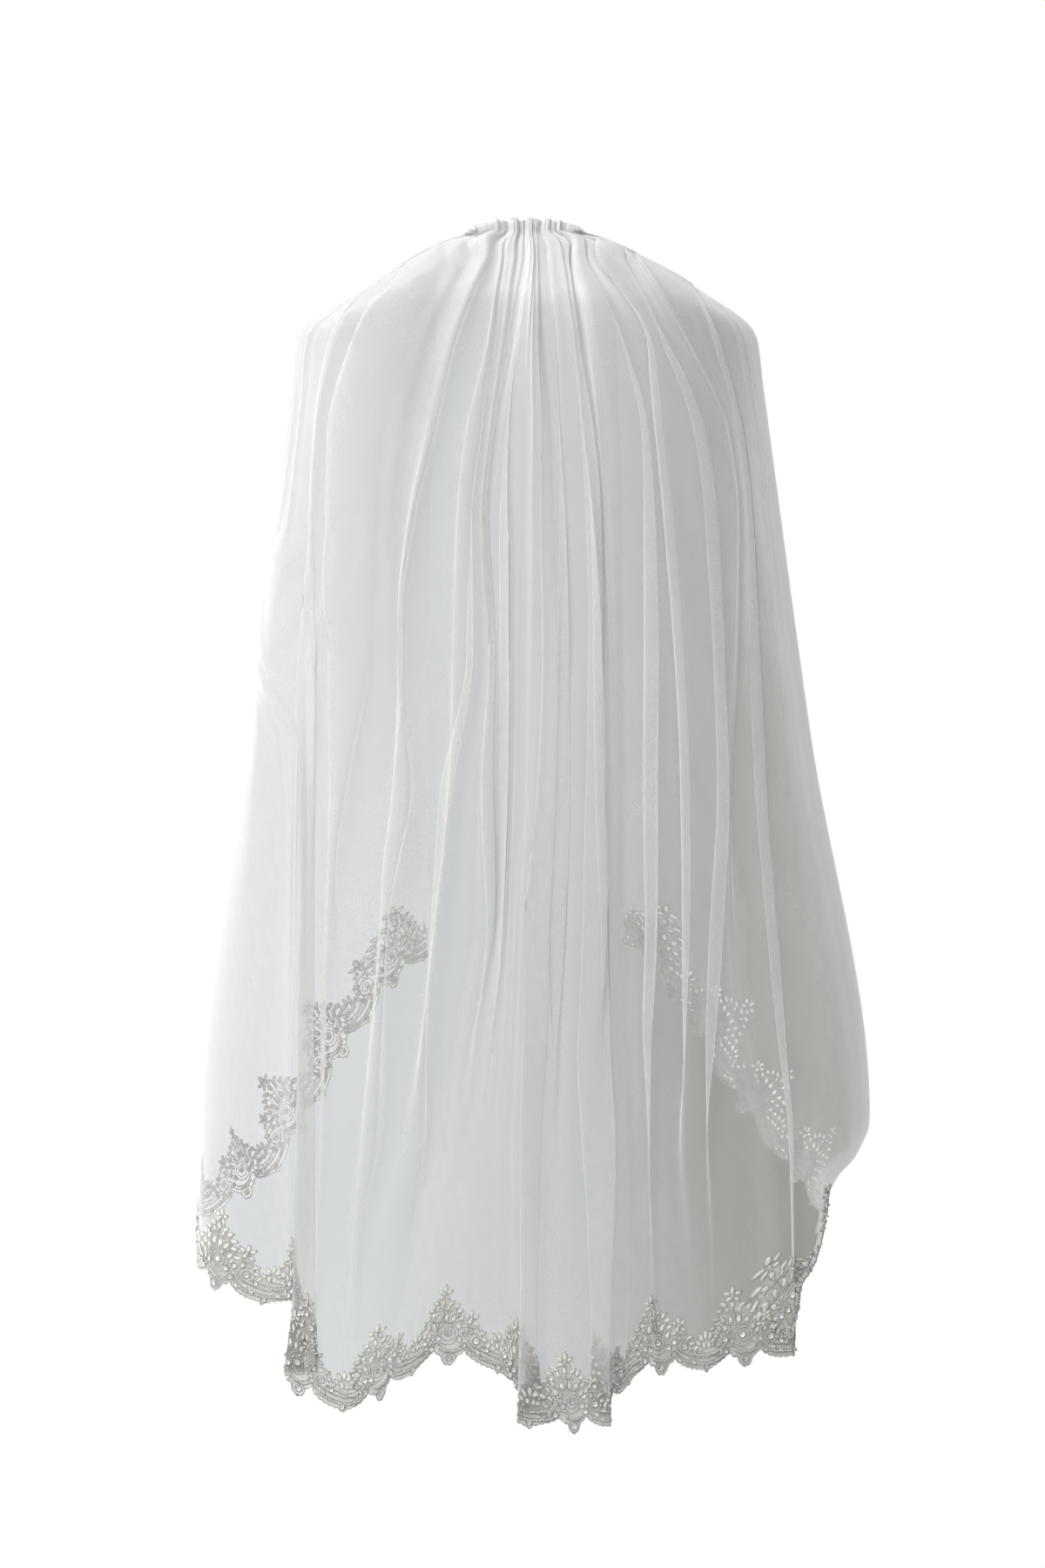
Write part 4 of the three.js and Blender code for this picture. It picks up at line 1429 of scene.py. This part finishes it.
    def lower_edge(self, flat: np.ndarray) -> np.ndarray:
        """The scalloped lower edge along the lace, with its small picots."""
        wave = np.abs(np.sin(math.pi * flat / self.picot_length))
        return self._edge(GROUND_LOW, flat) - self.picot * (wave - 0.4)

    def _upper_edge(self, flat: np.ndarray) -> np.ndarray:
        """The upper edge along the lace."""
        return self._edge(GROUND_HIGH, flat)

    def _ground(self) -> bpy.types.Object:
        """The ground of the lace, a strip between its two edges."""
        count = int(self.drape.flat_width / self.ground_step)
        flat = self.motif(np.linspace(1.0, self.drape.flat_width - 1.0, count))
        low, high = self.lower_edge(flat), self._upper_edge(flat)
        share = np.linspace(1, 0, self.ground_rows)[:, None]
        height = low + (high - low) * share
        places = np.broadcast_to(flat, height.shape)
        points = self.place(places, height, self.lift).reshape(-1, 3)
        made = mesh_object("lace_ground", points, grid_faces(*height.shape), GroundFinish().material())
        add_map(made, np.stack([places.ravel(), height.ravel()], 1) * MM)
        return made

    def _drawn(self, rng: np.random.Generator, angle: float) -> tuple[float, float]:
        """A petal's turn and size, each a little by chance."""
        turn = math.radians(angle + rng.uniform(-self.petal_turn, self.petal_turn))
        return turn, rng.uniform(*self.petal_size)

    def _petal_ring(
        self, middle: tuple[float, float], sides: tuple[float, float], drawn: tuple[float, float],
        around: np.ndarray, share: float = 1.0,
    ) -> tuple[np.ndarray, np.ndarray, np.ndarray]:
        """A ring of points within a petal's outline.

        Args:
            middle: the petal's middle, as a place along the lace and a height.
            sides: its length and width.
            drawn: its turn and size.
            around: the angles of the points.
            share: the ring's size as a share of the outline's.

        Returns:
            The places along the lace, the heights, and the distances along the stitches.
        """
        (u, h), (length, width), (turn, size) = middle, sides, drawn
        along = np.cos(around) * length / 2 * share * size
        across = np.sin(around) * width / 2 * share * size * (1 - self.petal_taper * np.cos(around))
        flat = u + along * math.cos(turn) - across * math.sin(turn)
        return flat, h + along * math.sin(turn) + across * math.cos(turn), along + across * 0.6

    def _petals(self, material: bpy.types.Material) -> bpy.types.Object:
        """The satin petals and leaves: each a low dome inside its outline.

        Args:
            material: their finish.

        Returns:
            The piece.
        """
        rng = np.random.default_rng(self.seed)
        n = self.petal_points
        around = np.linspace(0, 2 * math.pi, n, endpoint=False)
        after = [(k + 1) % n for k in range(n)]
        shape = [(k, after[k], n + after[k], n + k) for k in range(n)]
        shape += [(n + k, n + after[k], 2 * n, 2 * n) for k in range(n)]
        shape += [(after[k], k, 2 * n + 1 + k, 2 * n + 1 + after[k]) for k in range(n)]
        shape += [(2 * n + 1 + after[k], 2 * n + 1 + k, 3 * n + 1, 3 * n + 1) for k in range(n)]
        rings, lifts, faces = [], [], []
        for start in self.starts:
            for u, h, angle, *sides in PETALS:
                if not self._inside(start + u):
                    continue
                drawn = self._drawn(rng, angle)
                faces.append(np.array(shape) + (3 * n + 2) * len(faces))
                for share, dome in self.petal_rings:
                    a = around if share else np.zeros(1)
                    rings.append(self._petal_ring((start + u, h), sides, drawn, a, share))
                    lifts.append(np.full(len(a), self.lift + dome))
        flat, height, stitch = (np.concatenate(part) for part in zip(*rings))
        points = self.place(flat, height, np.concatenate(lifts))
        made = mesh_object("lace_petals", points, np.concatenate(faces), material)
        add_number(made, "stitch", stitch * MM)
        return made

    def _paths(self) -> list[tuple[np.ndarray, np.ndarray, bool, float]]:
        """Every cord of the lace, as flat places, heights, whether it closes and its thickness."""
        found = []
        ring = np.linspace(0, 2 * math.pi, self.ring_points + 1)[:-1]
        petal = np.linspace(0, 2 * math.pi, self.outline_points + 1)[:-1]
        rng = np.random.default_rng(self.seed)
        for start in self.starts:
            for u, h, angle, *sides in PETALS:
                drawn = self._drawn(rng, angle)
                if self._inside(start + u):
                    outline = self._petal_ring((start + u, h), sides, drawn, petal)[:2]
                    found.append((*outline, True, self.outline_cord))
            for u, h, radius in RINGS:
                if self._inside(start + u):
                    around = start + u + radius * np.cos(ring), h + radius * self.ring_squash * np.sin(ring)
                    found.append((*around, True, self.ring_cord))
            for cord in CORDS:
                reach = distances(np.array(cord))
                steps = np.linspace(0, reach[-1], max(4, int(reach[-1] / self.cord_step)))
                path = EasyCurve(reach, np.array(cord))(steps)
                keep = self._inside(start + path[:, 0])
                if keep.sum() > 3:
                    found.append((start + path[keep, 0], path[keep, 1], False, self.scroll_cord))
        for edge, (step, inset, thick) in zip((self.lower_edge, self._upper_edge), self.edge_cords):
            flat = self.motif(np.arange(1.0, self.drape.flat_width - 1.0, step))
            found.append((flat, edge(flat) + inset, False, thick))
        return found

    def _cords(self, material: bpy.types.Material) -> list[bpy.types.Object]:
        """The cords, in pieces from left to right.

        Args:
            material: the cord's finish.

        Returns:
            One piece for each stretch of the hem.
        """
        tree = tube_tree("cord_along_path", 5, material)
        stretches = self.motif(np.linspace(0, self.drape.flat_width, 4))
        paths = self._paths()
        made = []
        for name, low, high in zip(("left", "middle", "right"), stretches[:-1], stretches[1:]):
            points, edges, radii, base = [], [], [], 0
            for flat, height, closed, thick in paths:
                if closed or len(flat) < self.long_path:
                    keep = np.full(len(flat), low <= flat.mean() < high)
                else:
                    keep = (flat >= low - self.overlap) & (flat < high)
                count = keep.sum()
                if count < 2:
                    continue
                points.append(np.stack([flat[keep], height[keep]], 1))
                radii.append(np.full(count, thick * self.cord_radius * MM))
                index = np.arange(count)
                links = np.stack([index, np.roll(index, -1)], 1) + base
                edges.append(links if closed else links[:-1])
                base += count
            place = self.place(*np.concatenate(points).T, self.lift)
            thickness = {"thickness": np.concatenate(radii)}
            made.append(tree.grow(f"lace_cords_{name}", place, np.concatenate(edges), thickness))
        return made

    def _spots(self, table: Sequence[tuple[float, float, float]]) -> tuple[np.ndarray, ...]:
        """The flat place, height and radius of every bead or sequin in all the repeats."""
        every = np.array([(s + u, h, r) for s in self.starts for u, h, r in table])
        every = every[self._inside(every[:, 0])]
        return every[:, 0], every[:, 1], every[:, 2]

    def _beads(self, material: bpy.types.Material) -> bpy.types.Object:
        """The small round beads, by Geometry Nodes on points.

        Args:
            material: their finish.

        Returns:
            The piece.
        """
        rows = []
        for row in BEAD_ROWS:
            reach = distances(np.array(row))
            path = EasyCurve(reach, np.array(row))(np.arange(0.5, reach[-1], self.bead_step))
            rows += [(u, h, self.small_bead) for u, h in path]
        flat, height, radius = self._spots((*BEADS, *rows))
        place = self.place(flat, height, self.lift + 0.35 + radius * 0.6)
        values = {"size": radius * MM, "facing": self.normals(flat, height)}
        return spot_tree("bead_on_points", material, bead=True).grow("lace_beads", place, None, values)

    def _sequins(self, material: bpy.types.Material) -> bpy.types.Object:
        """The cupped sequins, by Geometry Nodes on points.

        Args:
            material: their finish.

        Returns:
            The piece.
        """
        flat, height, radius = self._spots(SEQUINS)
        rng = np.random.default_rng(self.seed + 1)
        place = self.place(flat, height, self.lift + 0.75)
        tilt = rng.normal(0, self.sequin_tilt, (len(flat), 3))
        values = {"size": radius * MM, "facing": unit(self.normals(flat, height) + tilt)}
        return spot_tree("sequin_on_points", material, bead=False).grow("lace_sequins", place, None, values)


@dataclass
class Stage:
    """The pale floor, the studio light and the camera at the photograph's angle."""

    camera_place: tuple[float, float, float] = (-0.003, -2.8, -0.457)
    sensor: float = 36.0
    frame_height: float = 1.296
    floor_z: float = -1.45
    floor_radius: float = 1.35
    floor_sides: int = 144
    floor_rings: tuple[tuple[float, float], ...] = ((0, 0), (0.01, 0.01), (0.01, 0.04))
    ambient: tuple[float, float, float, float] = (0.15, 0.153, 0.157, 1.0)
    # The backdrop from left to right; its darkening to the right is painted shade, as on a wall lit from the
    # left.
    backdrop: tuple[tuple[float, float, float, float], ...] = (
        (0.66, 0.69, 0.71, 1.0),
        (0.55, 0.57, 0.58, 1.0),
        (0.24, 0.235, 0.21, 1.0),
    )
    backdrop_reach: float = 0.1
    bounces: int = 2
    clear_layers: int = 20

    def build(self) -> None:
        """Builds the floor, world, lights and camera."""
        self._world()
        self._floor()
        self._lamp("window", (-0.85, -0.65, -0.35), (0.05, 0, -0.5), 0.6, 1.6, 11.0, (1.0, 0.99, 0.97))
        self._lamp("front_fill", (1.5, -2.7, 1.0), (0, 0, -0.5), 1.6, 1.6, 26.0, (1.0, 0.99, 0.975))
        self._lamp("far_fill", (-1.2, 2.8, 0.9), (0, 0, -0.5), 1.8, 1.8, 4.0, (1.0, 1.0, 1.0))
        self._lamp("left_wash", (-1.05, 0.6, -0.6), (-0.2, 0.06, -0.6), 0.6, 1.3, 15.5, (1.0, 1.0, 1.0))
        self._lamp("overhead", (-0.6, -0.7, 1.3), (-0.06, 0, -0.15), 1.2, 0.9, 32.5, (1.0, 1.0, 0.99))
        self._camera()
        settings = bpy.context.scene.view_settings
        settings.view_transform = "Standard"
        settings.look = "None"
        cycles = bpy.context.scene.cycles
        cycles.transparent_max_bounces = self.clear_layers
        cycles.max_bounces, cycles.diffuse_bounces = self.bounces, self.bounces
        cycles.glossy_bounces, cycles.transmission_bounces = self.bounces, self.bounces

    def _world(self) -> None:
        """A white surround, which is a grey backdrop, darker to the right by painted shade, where net hangs
        before it.
        """
        world = bpy.data.worlds.new("studio")
        bpy.context.scene.world = world
        g = Graph(world)
        ray = g.add("ShaderNodeLightPath")
        veiled, camera = Sock(g, ray.outputs["Transparent Depth"]), Sock(g, ray.outputs["Is Camera Ray"])
        towards = g.node("ShaderNodeSeparateXYZ", None, {0: g.node("ShaderNodeTexCoord", out="Generated")})
        side = towards.ramp(-self.backdrop_reach, self.backdrop_reach)
        left, middle, right = self.backdrop
        # Painted shade: the backdrop darkens from left to right.
        shade = g.blend(side.ramp(0.5, 1.0), g.blend(side.ramp(0.0, 0.5), left, middle), right)
        seen = g.blend(veiled.at_most(1.0), (1.0, 1.0, 1.0, 1.0), shade)
        g.finish(g.node("ShaderNodeBackground", None, {"Color": g.blend(camera, self.ambient, seen)}))

    def _floor(self) -> None:
        """A round pale floor, under the veil and out of the photograph's view."""
        n = self.floor_sides
        angle = np.linspace(0, 2 * math.pi, n + 1)[:-1]
        points = [[[0, 0, self.floor_z]]]
        for wider, lower in self.floor_rings:
            r = self.floor_radius + wider
            z = np.full(n, self.floor_z - lower)
            points.append(np.stack([r * np.cos(angle), r * np.sin(angle), z], 1))
        turn = np.arange(n) + 1
        after = turn % n + 1
        faces = [np.stack([np.zeros(n, int), turn, after, after], 1)]
        for k in (0, n):
            faces.append(np.stack([turn + k, turn + n + k, after + n + k, after + k], 1))
        g = new_material("pale_floor")
        paint = g.blend(g.noise(3.0, 3.0).ramp(0.3, 0.7), (0.90, 0.905, 0.91, 1), (0.94, 0.94, 0.94, 1))
        material = g.finish(g.surface({"Base Color": paint, "Roughness": 0.85}))
        mesh_object("floor", np.concatenate(points), np.concatenate(faces), material)

    def _lamp(
        self,
        name: str,
        place: tuple[float, float, float],
        aim: tuple[float, float, float],
        width: float,
        height: float,
        power: float,
        colour: tuple[float, float, float],
    ) -> None:
        """A soft rectangular lamp.

        Args:
            name: its name.
            place: where it stands.
            aim: what it points at.
            width: its width.
            height: its height.
            power: its power in watts.
            colour: its colour.
        """
        data = bpy.data.lights.new(name, "AREA")
        data.shape, data.size, data.size_y = "RECTANGLE", width, height
        data.energy, data.color = power, colour
        lamp = linked(name, data)
        lamp.location = place
        towards = Vector(aim) - Vector(place)
        lamp.rotation_euler = towards.to_track_quat("-Z", "Y").to_euler()
        lamp.visible_camera = False

    def _camera(self) -> None:
        """The camera behind the veil, level, as in the photograph."""
        data = bpy.data.cameras.new("camera")
        data.sensor_fit = "AUTO"
        data.sensor_width = self.sensor
        data.lens = self.sensor * -self.camera_place[1] / self.frame_height
        camera = linked("camera", data)
        camera.location = self.camera_place
        camera.rotation_euler = (math.radians(90), 0, 0)
        bpy.context.scene.camera = camera


def declare(piece: bpy.types.Object, stands_for: str | None = None) -> None:
    """Hangs a piece on the root body, hides the CAD part that it stands for, and reports it.

    Args:
        piece: the piece.
        stands_for: the CAD node that it replaces, if any.
    """
    if stands_for:
        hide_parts(stands_for)
    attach(piece, "root")
    LOG.info("%s: %d triangles", piece.name, sum(len(face.vertices) - 2 for face in piece.data.polygons))


def main() -> None:
    drape = Drape()
    drape.squared()
    LOG.info("flat hem %.0f mm, span %.0f mm", drape.flat_width, drape.span)
    lace = LaceTrim(drape)
    tulle = TulleSheet(drape, lace, NetFinish()).build()
    trim = lace.build()
    declare(tulle, "tulle")
    for piece in trim:
        declare(piece, "lace_trim")
    declare(CombBinding().build())
    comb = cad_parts["comb"]
    plastic = MouldedPlastic().material()
    for index in range(len(comb.data.materials)):
        comb.data.materials[index] = plastic
    drape.cut_area()
    Stage().build()


if __name__ == "__main__":
    main()
